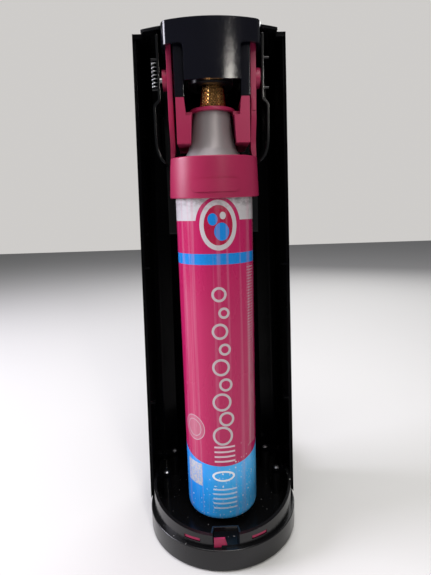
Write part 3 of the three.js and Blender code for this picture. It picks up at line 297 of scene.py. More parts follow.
# The sleeve's print. u runs round the cylinder to the right of the open side's middle, v is the height.
# It is painted shape by shape, each with its middle and its half width and height in u and v.
label = {
    "radius": 30.15, "white": ((0, 313.3), (200, 50)), "emblem": (1.8, 259.6), "stripe": ((0, 234.8), (200, 4.1)),
    "bubbles": (8.2, 6.2, 7.6, 5.4, 7, 4.8, 6.4, 4.4, 5.8), "bubbleFoot": 93, "bubbleGap": 14.4, "line": 1.9,
    "stamp": (-24.8, 97), "dashes": ((31, 154), (5, 75)), "blueEdge": 66.5, "blueRise": 9.0, "blueHalf": 44.0,
    "bars": (((2, 76), (8.5, 8.4)), ((1.5, 38), (10, 10.5))), "pill": (0.5, 57.5), "patch": ((-26.5, 56), (8.5, 10)),
    "drops": ((0.17, 0.12, 0.8), (0.36, 0.15, 0.6)),  # how close, how large and how strong
}
inks = {
    "pink": (0.46, 0.011, 0.1, 1),
    "red": (0.38, 0.007, 0.05, 1),
    "white": (0.54, 0.52, 0.54, 1),
    "blue": (0.007, 0.22, 0.64, 1),
    # the foot's blues, brighter than the band's blue: painted light that stands in for the light the foot's walls keep
    # off
    "seaBlueLit": (0.03, 0.42, 0.94, 1),
    "deepBlueLit": (0.02, 0.28, 0.82, 1),
    "paleBlueLit": (0.12, 0.54, 0.97, 1),
    "foam": (0.86, 0.9, 0.96, 1),
    # pale pink of the painted reflection streaks on the sleeve
    "reflectionTint": (0.62, 0.25, 0.36, 1),
    "patch": (0.56, 0.55, 0.56, 1),
    "dirt": (0.2, 0.19, 0.19, 1),
}
sleeveLook = {"Coat Weight": 0.15, "Coat Roughness": 0.06, "Specular IOR Level": 0.3}
# how strong the painted reflection streaks, the dirt smudges and the wrinkles are
sleeveWearAndReflection = {"paintedReflection": 0.24, "smudge": 0.75, "smudgeLow": (268, 279), "smudgeHigh": (280, 284), "smudgeLeft": 0.25,
              "wrinkle": 0.55, "wrinkleDepth": 0.0009, "gloss": (0.2, 0.36)}


def labelShapes():  # kind, middle, half width and height, ink and strength
    u, v = label["emblem"]
    shapes = [("bar", *label["white"], "white", 1), ("oval", (u, v), (17.6, 20.6), "pink", 1),
              ("oval", (u, v), (14.2, 18.3), "white", 1), ("oval", (u, v), (10.9, 14.6), "red", 1),
              ("oval", (u + 2.4, v - 4.6), (5.6, 6.6), "blue", 1), ("oval", (u - 4.2, v + 4.4), (3.7, 4.4), "blue", 1),
              ("oval", (u + 3.4, v + 7), (2.3, 2.7), "white", 1), ("bar", *label["stripe"], "blue", 1)]
    for step, radius in enumerate(label["bubbles"]):
        middle = (2 + (2.2 if step % 2 else -1.2), label["bubbleFoot"] + label["bubbleGap"] * step)
        inner = radius - label["line"]
        shapes += [("oval", middle, (radius, radius), "white", 0.92), ("oval", middle, (inner, inner), "pink", 1)]
    for radius, ink in ((10.8, "white"), (10.2, "pink"), (7.4, "white"), (6.9, "pink")):
        shapes.append(("oval", label["stamp"], (radius, radius), ink, 0.75))
    return shapes


def makeSleevePrint():
    material, tree, shader = startMaterial("sleeve_print", sleeveLook)
    place = objectPlace(tree, (1 / mm, 1 / mm, 1 / mm), (0, -axisY / mm, 0))
    parts = addNode(tree, "ShaderNodeSeparateXYZ", None, {0: place}).outputs
    angle = reckon(tree, "ARCTAN2", reckon(tree, "MULTIPLY", parts["X"], -1.0), parts["Y"])
    u, v = reckon(tree, "MULTIPLY", angle, label["radius"]), parts["Z"]

    def both(one, other):
        return reckon(tree, "MULTIPLY", one, other)

    def within(kind, middle, half):
        across = reckon(tree, "DIVIDE", reckon(tree, "SUBTRACT", u, middle[0]), half[0])
        along = reckon(tree, "DIVIDE", reckon(tree, "SUBTRACT", v, middle[1]), half[1])
        if kind == "oval":
            size = reckon(tree, "ADD", both(across, across), both(along, along))
        else:
            size = reckon(tree, "MAXIMUM", reckon(tree, "ABSOLUTE", across), reckon(tree, "ABSOLUTE", along))
        return reckon(tree, "LESS_THAN", size, 1.0)

    def dashes(value, pitch, share):
        return reckon(tree, "GREATER_THAN", reckon(tree, "FRACT", reckon(tree, "DIVIDE", value, pitch)), 1 - share)

    colour = inks["pink"]
    for kind, middle, half, ink, strength in labelShapes():
        colour = blendColour(tree, both(within(kind, middle, half), strength), colour, inks[ink])
    side = both(within("bar", *label["dashes"]), both(dashes(v, 2.3, 0.5), dashes(u, 2.4, 0.62)))
    colour = blendColour(tree, both(side, 0.75), colour, inks["white"])

    # the blue foot of the print: a bowed edge, darker to the left, paler to the right; its blues are brighter than the
    # band's, painted light against the shade low in the foot
    share = reckon(tree, "DIVIDE", u, label["blueHalf"])
    edge = reckon(tree, "MULTIPLY_ADD", both(share, share), label["blueRise"], label["blueEdge"])
    drop = reckon(tree, "SUBTRACT", edge, v)
    sea = blendColour(tree, spread(tree, u, -30, 4, 0, 1), inks["deepBlueLit"], inks["seaBlueLit"])
    haze = both(cloud(tree, objectPlace(tree), 45, 3), spread(tree, u, -16, 24, 0, 1))
    sea = blendColour(tree, haze, sea, inks["paleBlueLit"])
    colour = blendColour(tree, reckon(tree, "GREATER_THAN", drop, 0.0), colour, sea)
    for middle, half in label["bars"]:
        bars = both(both(within("bar", middle, half), dashes(v, 4.2, 0.36)), 0.6)
        colour = blendColour(tree, bars, colour, inks["foam"])
    for half, ink in (((9.4, 4.8), "foam"), ((7.6, 3.2), "seaBlueLit")):
        colour = blendColour(tree, within("oval", label["pill"], half), colour, inks[ink])
    worn = spread(tree, cloud(tree, objectPlace(tree), 620, 3), 0.4, 0.55, 0.5, 1)
    colour = blendColour(tree, both(within("bar", *label["patch"]), worn), colour, inks["patch"])

    # droplets, most of them low and to the right
    flat = addNode(tree, "ShaderNodeCombineXYZ", None, {0: u, 1: v, 2: 0.0}).outputs[0]
    for size, cut, strength in label["drops"]:
        cells = addNode(tree, "ShaderNodeTexVoronoi", {"voronoi_dimensions": "2D", "feature": "F1"},
                        {"Vector": flat, "Scale": size, "Randomness": 1.0})
        chance = addNode(tree, "ShaderNodeSeparateColor", None, {0: cells.outputs["Color"]}).outputs[0]
        least = reckon(tree, "ADD", spread(tree, v, 30, 95, 0.3, 1.0), spread(tree, u, -22, 16, 0.5, 0.0))
        inside = reckon(tree, "LESS_THAN", cells.outputs["Distance"], both(chance, cut))
        drops = both(both(inside, reckon(tree, "GREATER_THAN", chance, least)), strength)
        colour = blendColour(tree, drops, colour, inks["foam"])

    # pale vertical streaks: painted reflection, the film's streaky reflections painted into its colour
    paintedReflection = spread(tree, cloud(tree, objectPlace(tree, (1, 1, 0.012)), 260, 2), 0.56, 0.68, 0, sleeveWearAndReflection["paintedReflection"])
    colour = blendColour(tree, paintedReflection, colour, inks["reflectionTint"])

    # handling marks on the white below the band
    marks = cloud(tree, objectPlace(tree, (1, 1, 1.6)), 210, 5, 0.65)
    smudge = both(spread(tree, marks, 0.46, 0.62, 0, sleeveWearAndReflection["smudge"]),
                  both(spread(tree, v, *sleeveWearAndReflection["smudgeLow"], 0, 1),
                       spread(tree, v, *sleeveWearAndReflection["smudgeHigh"], 1, sleeveWearAndReflection["smudgeLeft"])))
    colour = blendColour(tree, smudge, colour, inks["dirt"])
    tree.links.new(colour, shader.inputs["Base Color"])

    wrinkles = cloud(tree, objectPlace(tree, (1, 1, 0.07)), 110, 3)
    setBump(tree, shader, wrinkles, sleeveWearAndReflection["wrinkle"], sleeveWearAndReflection["wrinkleDepth"])
    smear = cloud(tree, objectPlace(tree, (1, 1, 0.3)), 60, 4)
    tree.links.new(spread(tree, smear, 0.35, 0.7, *sleeveWearAndReflection["gloss"]), shader.inputs["Roughness"])
    return material


finishes = {slot: makePlastic(slot, look) for slot, look in plastics.items()}
finishes.update({slot: makeMetal(slot, look) for slot, look in metals.items()})
finishes["sleeve_print"] = makeSleevePrint()
print("finishes made")


# Modelling helpers
def choose(piece):
    bpy.ops.object.select_all(action="DESELECT")
    piece.select_set(True)
    bpy.context.view_layer.objects.active = piece


def startPiece(name):
    piece = bpy.context.object
    piece.name = name
    piece.data.name = name
    bpy.ops.object.transform_apply(location=True, rotation=True, scale=True)
    return piece


def pick(action="SELECT"):
    bpy.ops.mesh.select_all(action=action)


def editMode():
    bpy.ops.object.mode_set(mode="EDIT")
    bpy.ops.mesh.select_mode(type="VERT")
    pick()


def objectMode():
    bpy.ops.object.mode_set(mode="OBJECT")


def pickVertices(piece, wanted):
    editMode()
    pick("DESELECT")
    objectMode()
    for vertex in piece.data.vertices:
        vertex.select = wanted(vertex.co)
    bpy.ops.object.mode_set(mode="EDIT")


def stretch(shares, centre):
    bpy.ops.transform.resize(value=shares, center_override=centre)


def pullOut(step):
    bpy.ops.mesh.extrude_region_move(TRANSFORM_OT_translate={"value": step})


def applyModifier(piece, kind, settings):
    choose(piece)
    modifier = piece.modifiers.new(kind.lower(), kind)
    for key, value in settings.items():
        setattr(modifier, key, value)
    bpy.ops.object.modifier_apply(modifier=modifier.name)


def roundEdges(piece, width, segments=2, angle=32):
    applyModifier(piece, "BEVEL", {
        "width": width * mm, "segments": segments, "limit_method": "ANGLE", "angle_limit": math.radians(angle),
        "use_clamp_overlap": True, "miter_outer": "MITER_ARC"})
    return piece


def joinFlats(piece):  # makes one face of the flat faces that a cut has split
    choose(piece)
    editMode()
    bpy.ops.mesh.dissolve_limited(angle_limit=math.radians(0.5))
    bpy.ops.mesh.dissolve_degenerate(threshold=0.00002)
    objectMode()


def nudge(piece, aside):
    choose(piece)
    editMode()
    bpy.ops.transform.translate(value=(aside * mm, 0, 0))
    objectMode()


def smooth(piece, angle):
    choose(piece)
    bpy.ops.object.shade_smooth_by_angle(angle=math.radians(angle))
    applyModifier(piece, "WEIGHTED_NORMAL", {"keep_sharp": True})


def arc(cx, cy, radius, start, end, steps):
    turns = [math.radians(start + (end - start) * step / steps) for step in range(steps + 1)]
    return [(cx + radius * math.cos(turn), cy + radius * math.sin(turn)) for turn in turns]


def bend(first, second, third, fourth, steps):  # a curve without its first point
    shares = [step / steps for step in range(1, steps + 1)]
    return [tuple((1 - t) ** 3 * a + 3 * t * (1 - t) ** 2 * b + 3 * t * t * (1 - t) * c + t ** 3 * d
                  for a, b, c, d in zip(first, second, third, fourth)) for t in shares]


def drawn(*items):  # points, and bends from the point before them: steps, two handles and the end
    points = []
    for item in items:
        points += [item] if len(item) == 2 else bend(points[-1], *item[1:], item[0])
    return points


def mirrored(points):
    return [(-x, y) for x, y in reversed(points)]


def onSide(points, side):
    return points if side > 0 else mirrored(points)


# A line drawn point by point: one vertex, pulled out again and again
def drawLine(name, places):
    bpy.ops.object.select_all(action="DESELECT")
    bpy.ops.mesh.primitive_plane_add(size=0.01, location=(0, 0, 0))
    piece = startPiece(name)
    editMode()
    bpy.ops.mesh.merge(type="CENTER")
    bpy.ops.transform.translate(value=places[0])
    for here, there in zip(places, places[1:]):
        pullOut(there - here)
    return piece


def fillAndPush(piece, push):
    pick()
    bpy.ops.mesh.edge_face_add()
    pullOut(push)
    pick()
    bpy.ops.mesh.normals_make_consistent(inside=False)
    objectMode()
    return piece


def raised(name, outline, low, high):  # an outline in x and y
    return fillAndPush(drawLine(name, [put(x, y, low) for x, y in outline]), Vector((0, 0, (high - low) * mm)))


def pushed(name, outline, near, far):  # an outline in x and z
    return fillAndPush(drawLine(name, [put(x, near, z) for x, z in outline]), Vector((0, (far - near) * mm, 0)))


def drawnAcross(name, outline, left, right):  # an outline in y and z
    return fillAndPush(drawLine(name, [put(left, y, z) for y, z in outline]), Vector(((right - left) * mm, 0, 0)))


def spun(piece, y, steps, angle=360):
    pick()
    bpy.ops.mesh.spin(steps=steps, angle=math.radians(angle), center=put(0, y, 0), axis=(0, 0, 1))
    pick()
    bpy.ops.mesh.remove_doubles(threshold=0.000004)


def turned(name, profile, steps, y=0):  # a profile of radius and height
    piece = drawLine(name, [put(radius, y, z) for radius, z in profile])
    spun(piece, y, steps)
    bpy.ops.mesh.normals_make_consistent(inside=False)
    objectMode()
    return piece


def block(name, low, high):
    bpy.ops.object.select_all(action="DESELECT")
    centre = [(a + b) / 2 for a, b in zip(low, high)]
    bpy.ops.mesh.primitive_cube_add(size=mm, location=put(*centre), scale=[b - a for a, b in zip(low, high)])
    return startPiece(name)


def sideBlock(name, side, near, far, along, heights):
    left, right = sorted((side * near, side * far))
    return block(name, (left, along[0], heights[0]), (right, along[1], heights[1]))


def rod(name, radius, start, end, steps=32):
    first, last = put(*start), put(*end)
    bpy.ops.object.select_all(action="DESELECT")
    bpy.ops.mesh.primitive_cylinder_add(
        vertices=steps, radius=radius * mm, depth=(last - first).length, location=(first + last) / 2,
        rotation=(last - first).to_track_quat("Z", "Y").to_euler())
    return startPiece(name)


def upright(name, radius, place, low, high, steps=32):
    return rod(name, radius, (*place, low), (*place, high), steps)


def sideRod(name, radius, side, near, far, y, z, steps=32):
    return rod(name, radius, (side * near, y, z), (side * far, y, z), steps)


def carve(piece, *cutters, kind="DIFFERENCE"):
    for cutter in cutters:
        applyModifier(piece, "BOOLEAN", {"object": cutter, "operation": kind, "solver": "EXACT"})
        choose(cutter)
        bpy.ops.object.delete()
    return piece


def unite(piece, *others):
    return carve(piece, *others, kind="UNION")


slotOf = {part["node"]: part["material_slot"] for part in frame["record"]["subparts"]}


def paint(piece, finish):
    piece.data.materials.clear()
    piece.data.materials.append(finishes[finish])


def settle(piece, node, angle=38, finish=None):
    smooth(piece, angle)
    paint(piece, finish or slotOf[node])
    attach(piece, frame["nodes"][node]["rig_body"])
    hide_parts(node)
    print(piece.name, "made,", len(piece.data.polygons), "faces")


# The hood over the gas head: a round-backed cap with an apron and two legs
def makeHood():
    low, high = edgesOf("hood")
    hood = {"half": high[0], "reach": high[1], "arc": 94, "corner": (4.8, 12), "wall": 2.4, "front": low[1],
            "cheekLow": high[2] - 15, "apronHalf": 20, "apronLow": high[2] - 39.5, "fillet": 3.2,
            "legWidth": 6.8, "legNear": high[1] - 14, "legFar": high[1] - 8, "legLow": low[2], "edge": 0.7,
            "aside": -0.7}
    front, reach, wall, legFar = hood["front"], hood["reach"], hood["wall"], hood["legFar"]
    fillet, top, inner, apronLow = hood["fillet"], hood["cheekLow"], hood["apronHalf"], hood["apronLow"]

    def outline(inset, start):
        half, radius, centre = hood["half"] - inset, hood["arc"] - inset, reach - hood["arc"]
        side = math.degrees(math.asin((half - hood["corner"][0]) / radius))
        away, fall = math.cos(math.radians(side)), math.sin(math.radians(side))
        last = (radius * fall, centre + radius * away)
        right = drawn((half, start), (half, last[1] - hood["corner"][1]),
                      (10, (half, last[1] - 4), (last[0] + 2.5 * away, last[1] - 2.5 * fall), last))
        return [*right, *arc(0, centre, radius, 90 - side, 90 + side, 56)[1:-1], *mirrored(right)]

    piece = raised("valveHood", outline(0, front), apronLow, high[2])
    hollow = raised("hollow", outline(wall, front - 2), apronLow - 1, high[2] - wall)
    corners = [(inner, apronLow - 2), (hood["half"] + 4, apronLow - 2), (hood["half"] + 4, top),
               *arc(inner + fillet, top - fillet, fillet, 90, 180, 8)]
    rooms = [pushed("room", onSide(corners, side), front - 4, reach + 2) for side in (1, -1)]
    carve(piece, hollow, *rooms)
    roundEdges(piece, hood["edge"], 3)
    legIn = inner + 0.4
    for side in (1, -1):
        leg = sideBlock("leg", side, legIn, legIn + hood["legWidth"], (hood["legNear"], legFar),
                        (hood["legLow"], high[2] - wall + 0.4))
        web = sideBlock("web", side, inner - 2.1, inner - 0.5, (legFar - 3, reach - wall - 0.6), (apronLow + 3, top))
        link = sideBlock("link", side, inner - 2.2, legIn + 2, (legFar - 3, legFar - 0.7),
                         (apronLow + 2.6, top - 0.3))
        unite(piece, unite(roundEdges(leg, 0.5), unite(link, web)))
    nudge(piece, hood["aside"])
    settle(piece, "hood")


# The gas cylinder: drawn aluminium body, shrunk sleeve, carrying ring and knurled brass valve
cylinder = {"body": 29.5, "sleeve": 30.15, "neck": 14.5, "shoulder": 55, "heel": 3.2, "steps": 112, "rows": 44}


def neckLine(neck, shoulder, steps):  # from half way up the shoulder to the straight of the neck
    length = cylinder["shoulder"]
    return drawn((neck + 4.6, shoulder + length * 0.46),
                 (steps, (neck + 2.8, shoulder + length * 0.53), (neck + 0.4, shoulder + length * 0.72),
                  (neck, shoulder + length * 0.95)))


def makeCylinder():
    low, high = edgesOf("cylinder_body")
    bottom, top, sleeveTop = low[2], high[2], edgesOf("label_sleeve")[1][2]
    shoulder, length = top - cylinder["shoulder"], cylinder["shoulder"]
    body, neck, heel = cylinder["body"], cylinder["neck"], cylinder["heel"]
    rise = neckLine(neck, shoulder, 14)
    profile = drawn((0, bottom + 2.4), (body * 0.55, bottom + 2), (body * 0.72, bottom + 0.5),
                    (body * 0.8, bottom + 0.05), (body - heel - 1.2, bottom),
                    (8, (body - 1, bottom), (body, bottom + 1.6), (body, bottom + 5)),
                    *[(body, bottom + (shoulder - bottom) * share) for share in (0.25, 0.5, 0.75, 1)],
                    (18, (body, shoulder + length * 0.22), (body - 6, shoulder + length * 0.34), rise[0]),
                    *rise[1:], (neck, top - 0.4), (neck - 0.4, top), (0, top))
    settle(turned("gasCylinder", profile, cylinder["steps"]), "cylinder_body", 50)

    # the sleeve is shrunk over the heel at its lower end
    outer, rows, straight = cylinder["sleeve"], cylinder["rows"], bottom + 5.2
    wrap = drawn((body * 0.8, bottom - 0.35), (body - heel - 1, bottom - 0.32),
                 (9, (outer - 0.9, bottom - 0.3), (outer, bottom + 1.4), (outer, straight)),
                 *[(outer, straight + (sleeveTop - bottom - 5.2) * row / rows) for row in range(1, rows + 1)])
    settle(turned("printedSleeve", wrap, 160), "label_sleeve", 60)


def makeCollar():
    low, high = edgesOf("neck_collar")
    collar = {"radius": high[0] * 1.003, "inside": cylinder["neck"] + 0.3, "aside": -0.6}
    radius, inside, bottom, top = collar["radius"], collar["inside"], low[2], high[2]
    profile = drawn((inside, bottom), (radius - 0.9, bottom),
                    (5, (radius - 0.2, bottom), (radius, bottom + 0.3), (radius, bottom + 1)),
                    *bend((radius, top - 1.3), (radius, top - 0.4), (radius - 0.5, top), (radius - 1.3, top), 6),
                    (inside + 0.3, top), (inside, top - 0.3), (inside, bottom))
    piece = turned("neckRing", profile, 96)
    nudge(piece, collar["aside"])
    settle(piece, "neck_collar", 50)


def makeValve():
    valve = {"low": ringTop + 0.3, "grip": 10.2, "tip": 8.1, "taper": 18, "height": 27,
             "nose": 8, "bore": 1.8, "knurls": 26, "rowHeight": 1.4, "depth": 0.34, "aside": -1.2}
    start, end, top = valve["low"], valve["low"] + valve["height"], edgesOf("cylinder_valve")[1][2]
    grip, tip, nose, bore, rowHeight = (valve[key] for key in ("grip", "tip", "nose", "bore", "rowHeight"))
    heights = [start + 1.5 + row * rowHeight for row in range(int((end - start - 3) / rowHeight) + 1)]
    knurled = [(grip + (tip - grip) * min((z - start) / valve["taper"], 1), z) for z in heights]
    profile = [(0, start - 8), (nose, start - 8), (nose, start), (grip - 0.9, start), (grip - 0.2, start + 0.7),
               *knurled, (tip - 0.2, end - 0.7), (tip - 0.9, end), (nose - 0.5, end), (nose - 0.5, end + 2.2),
               (nose - 1.4, end + 2.8), (nose - 1.4, end + 4.4), (nose - 0.2, end + 5), (nose - 0.2, top - 0.9),
               (nose - 1.1, top), (bore, top), (bore, top - 9), (0, top - 9)]
    piece = turned("valveGrip", profile, valve["knurls"] * 2)
    pitch = math.pi / valve["knurls"]

    def standsOut(place):  # every other point of the grip, which makes the crossed knurl
        height = place.z / mm
        if not start + 1.4 < height < end - 1.4:
            return False
        row = round((height - start - 1.5) / rowHeight)
        column = round(math.atan2(place.y - axisY, place.x) / pitch)
        return math.hypot(place.x, place.y - axisY) / mm > nose - 0.3 and (row + column) % 2 == 0

    pickVertices(piece, standsOut)
    bpy.ops.transform.shrink_fatten(value=valve["depth"] * mm)
    pick()
    bpy.ops.mesh.quads_convert_to_tris()
    objectMode()
    nudge(piece, valve["aside"])
    settle(piece, "cylinder_valve", 10)


# The lift handle: a band round the cylinder's shoulder, hung on two arms with pivot bosses
def makeHandle():
    low, high = edgesOf("handle")
    handle = {"low": low[2] - 0.3, "height": 29.6, "radius": 34.9, "topRadius": 33.4, "wall": 3, "depth": 10,
              "armIn": 28.7, "armOut": 32.6, "boss": 7.3, "bossOut": high[0] - 0.2, "hub": 10, "crank": 1.5,
              "crankY": -7, "tilt": 3.4, "tiltAt": 296, "armBack": 10.2, "plaque": (9.2, 4.6, 13.5),
              "stop": (29.2, 32.4), "stopRise": (32, 41), "aside": -0.5}
    radius, half, bandLow = handle["radius"], handle["depth"] / 2, handle["low"]
    bandHigh, topRadius, inner = bandLow + handle["height"], handle["topRadius"], radius - handle["wall"]
    ring = [*arc(0, 0, radius, 0, 180, 72), (-radius, -half), (-inner, -half), *arc(0, 0, inner, 180, 0, 72),
            (inner, -half), (radius, -half)]
    piece = raised("liftHandle", ring, bandLow, bandHigh)
    pickVertices(piece, lambda place: place.z > (bandHigh - 1) * mm)
    stretch((topRadius / radius, topRadius / radius, 1), put(0, 0, bandHigh))
    objectMode()
    roundEdges(piece, 0.9, 3)

    # a bare raised plaque on the band
    middle, rise, reach = handle["plaque"]
    middle += bandLow
    badge = pushed("plaque", [*arc(reach, middle, rise, -90, 90, 12), *arc(-reach, middle, rise, 90, 270, 12)],
                   radius / 2, radius + 3)
    skin = turned("skin", [(inner + 1, bandLow + 1), (radius - 0.25 + 1, bandLow + 1),
                           (topRadius + 0.75, bandHigh - 1), (inner, bandHigh - 1), (inner + 1, bandLow + 1)], 144)
    carve(badge, skin, kind="INTERSECT")
    roundEdges(badge, 0.15, 2, 50)
    unite(piece, badge)
    choose(piece)
    editMode()
    bpy.ops.transform.rotate(value=math.radians(handle["tilt"]), orient_axis="X",
                             center_override=put(0, 0, handle["tiltAt"]))
    objectMode()

    armIn, armOut, foot, top = handle["armIn"], handle["armOut"], topRadius - 0.5, high[2]
    outline = drawn((armIn, bandHigh + 7), (6, (armIn, bandHigh + 2), (foot - 2.6, bandHigh),
                    (foot - 2.6, bandHigh - 5)), (foot, bandHigh - 5), (foot, bandHigh - 0.6),
                    (8, (foot, bandHigh + 3), (armOut, bandHigh + 5), (armOut, bandHigh + 12)),
                    (armOut, top), (armIn, top))
    hub, back = handle["hub"], handle["armBack"]
    turn = math.degrees(math.acos(half / hub))
    seen = [(half, bandHigh - 9), (half, bandHigh + 12), (back, bandHigh + 27), (back, top), (-half, top),
            *arc(0, pivotZ, hub, 180 - turn, 180 + turn, 24), (-half, bandHigh - 9)]
    for side in (1, -1):
        arm = pushed("arm", onSide(outline, side), -hub - 1, back + 1)
        carve(arm, drawnAcross("armSide", seen, *sorted((side * (armIn - 1), side * (foot + 1)))), kind="INTERSECT")
        boss = sideRod("boss", handle["boss"], side, armIn + 0.5, handle["bossOut"], 0, pivotZ, 48)
        unite(roundEdges(arm, 0.6), roundEdges(boss, 0.3))
        carve(arm, sideRod("pinHole", pinRoom, side, armIn - 1, armOut + 6, 0, pivotZ))
        unite(arm, sideRod("crank", handle["crank"], side, armIn - 3.4, armIn + 1, handle["crankY"], pivotZ, 24))
        unite(piece, arm)
    stop = sideBlock("stopPad", -1, *handle["stop"], (back - 1, back + 0.6),
                     [bandHigh + rise for rise in handle["stopRise"]])
    unite(piece, roundEdges(stop, 0.3))
    nudge(piece, handle["aside"])
    settle(piece, "handle")


# The carrier: two jaws and a yoke round the cylinder's neck, with slotted ears for the handle's cranks
def makeCarrier():
    low, high = edgesOf("carrier")
    ringLow, ringHigh = edgesOf("neck_collar")
    jaw = {"low": low[2], "high": ringHigh[2] + 5.3, "rear": high[1], "front": low[1], "inner": 19.9, "throat": 15,
           "outer": high[0] - 0.8, "step": ringHigh[2] - 6.9, "stepFrom": 12, "yoke": 6, "shelf": ringLow[2] - 0.3,
           "ear": (24.4, 27.4), "earRun": (-13, 6), "slotRun": (-9.4, 2.4), "edge": 0.7, "aside": -0.6}
    inner, outer, throat, shelf, step = (jaw[key] for key in ("inner", "outer", "throat", "shelf", "step"))
    bottom, front, rear, jawTop, top = jaw["low"], jaw["front"], jaw["rear"], jaw["high"], ringHigh[2]
    jawSide = [(inner + 0.7, jawTop), (outer, jawTop), (outer, bottom), (throat + 1.6, bottom), (throat + 0.5, step),
               (throat, step), (throat, shelf), (inner, shelf)]
    neck, shoulder = cylinder["neck"] + 0.9, top - cylinder["shoulder"]
    rise = neckLine(neck, shoulder, 12)
    room = [(0, shoulder + 10), (rise[0][0] + 4, shoulder + 10),
            (rise[0][0] + 2, shoulder + cylinder["shoulder"] * 0.36), *rise, (neck, top + 2), (0, top + 2)]
    piece = pushed("carrierJaws", jawSide, front, rear)
    unite(piece, pushed("otherJaw", mirrored(jawSide), front, rear))
    unite(piece, block("yoke", (-outer, front, bottom), (outer, front + jaw["yoke"], jawTop)))
    carve(piece, turned("neckRoom", room, 96), upright("ringRoom", inner, (0, 0), shelf, top + 8, 96),
          block("stepRoom", (0.2 - inner, jaw["stepFrom"], step), (inner - 0.2, rear + 1, jawTop + 1)))
    earIn, earOut = jaw["ear"]
    for side in (1, -1):
        unite(piece, sideBlock("ear", side, earIn, earOut, jaw["earRun"], (jawTop - 6, high[2])))
        carve(piece, sideBlock("slot", side, earIn - 1, earOut + 1, jaw["slotRun"], (pivotZ - 3.4, pivotZ + 2)))
    joinFlats(piece)
    roundEdges(piece, jaw["edge"], 3)
    joinFlats(piece)
    nudge(piece, jaw["aside"])
    settle(piece, "carrier")


# The inner frame: a panel with two cheeks that take the handle's pins, rails, a deck for the gas head and pegs
def makeInnerFrame():
    low, high = edgesOf("inner_frame")
    shelf = {"inside": 37.4, "wall": 2, "bulge": 3.9, "lobeHigh": ringTop + 5, "lobeLow": ringTop - 39, "rear": 8,
             "face": low[1] + 2.2, "rail": (21.5, 24.5), "peg": 1, "pegRises": (-7, 14),
             "deckTop": edgesOf("cylinder_valve")[1][2] - 3.3, "deck": 3, "deckHole": 17.3, "ear": (7, 9.6),
             "axleY": 18, "mouth": 15}
    inside, wall, bulge, face, rear = (shelf[key] for key in ("inside", "wall", "bulge", "face", "rear"))
    lobeLow, lobeHigh, deckTop, mouth = (shelf[key] for key in ("lobeLow", "lobeHigh", "deckTop", "mouth"))
    deckLow = deckTop - shelf["deck"]
    outside, curl, toe, top = inside + wall, lobeLow + 19, inside - 1.5, high[2]
    cheek = drawn((inside, top), (outside, top), (outside, lobeHigh + 3),
                  (8, (outside, lobeHigh + 1), (outside + bulge, lobeHigh), (outside + bulge, lobeHigh - 3)),
                  (outside + bulge, curl),
                  (14, (outside + bulge, curl - 10), (outside + bulge - 2, lobeLow + 3), (toe, lobeLow)),
                  (toe, lobeLow + wall),
                  (14, (inside + bulge - 2, lobeLow + 5), (inside + bulge, curl - 9), (inside + bulge, curl)),
                  (inside + bulge, lobeHigh - 4),
                  (8, (inside + bulge, lobeHigh - 1), (inside, lobeHigh), (inside, lobeHigh + 2)))
    piece = block("innerFrame", (-outside, low[1], low[2]), (outside, face, top))
    roundEdges(piece, 0.5)
    for side in (1, -1):
        panel = roundEdges(pushed("cheek", onSide(cheek, side), face - 1, rear), 0.45)
        carve(panel, sideRod("pinHole", pinRoom, side, inside - 2, outside + 2, 0, pivotZ))
        rail = sideBlock("rail", side, *shelf["rail"], (face - 1, -29.1), (ringTop - 41, ringTop + 9.3))
        unite(piece, panel, rail)
        for rise in shelf["pegRises"]:
            peg = sideRod("peg", shelf["peg"], side, inside + 1, inside + 6.4, 2, pivotZ + rise, 20)
            unite(piece, roundEdges(peg, 0.25))
    deck = block("deck", (-27, face - 1, deckLow), (27, rear, deckTop))
    unite(deck, block("deckStep", (-19.5, 7, deckLow), (19.5, 15.4, deckTop)),
          block("deckFront", (-15, 7, deckLow), (15, 22.8, deckTop)))
    carve(deck, upright("deckHole", shelf["deckHole"], (0, 0), deckTop - 9, deckTop + 1, 64))
    axleY, axleZ = shelf["axleY"], middleOf("lever")[2]
    for side in (1, -1):
        unite(deck, sideBlock("leverEar", side, *shelf["ear"], (axleY - 5, axleY + 4.5), (deckTop - 1, axleZ + 3)))
    carve(deck, rod("axleHole", screwRoom, (-20, axleY, axleZ), (20, axleY, axleZ)))
    roundEdges(deck, 0.3)
    carve(piece, block("tubeMouth", (-mouth, low[1] - 1, tubeMouthLow), (mouth, face + 0.5, deckLow)),
          block("leverMouth", (-mouth, low[1] - 1, deckTop + 1), (mouth, face + 0.5, top + 1)))
    for x, _, z in middlesOf("frame_screw"):
        carve(piece, rod("screwHole", screwRoom, (x, low[1] - 1, z), (x, face + 1, z), 20))
    unite(piece, deck)
    settle(piece, "inner_frame", finish="frame_black")


# The foot: a round-ended base with a ledge, the sloping lip and its notch, slots, posts and ribs
foot = {"half": 63.5, "front": -71, "ledge": 18.6, "under": 6.5, "floor": 9, "wall": 3.2, "well": 44.2, "lip": 60.3,
        "lipWall": 2.4, "lipFront": 28.4, "lipSweep": 9.6, "lipTail": 6, "notch": 20.6, "pocketBack": 17.6,
        "pocketReach": 9.4, "pocketWall": 1.6, "pocketLow": 13.2, "pocketBackLow": 24.6, "cut": (40, 64),
        "slot": (19.8, 32.2), "slotLow": 21.9, "slotHeight": 3, "post": 4.2, "postHigh": 30,
        "notchTop": 40, "padRoom": 7, "padSeat": 8, "padHole": 6.3}
columnFront = -62  # its middle curves back round the bottle


def columnLine(inset, steps=40):
    half, front = foot["half"] - inset, columnFront + inset
    corner, hollow = 9 - inset, 48 + inset
    turn = math.degrees(math.asin((front - bottleY) / hollow))
    return [(-half, 0), *arc(corner - half, front + corner, corner, 180, 270, 8),
            *arc(0, bottleY, hollow, 180 - turn, turn, steps),
            *arc(half - corner, front + corner, corner, 270, 360, 8), (half, 0)]


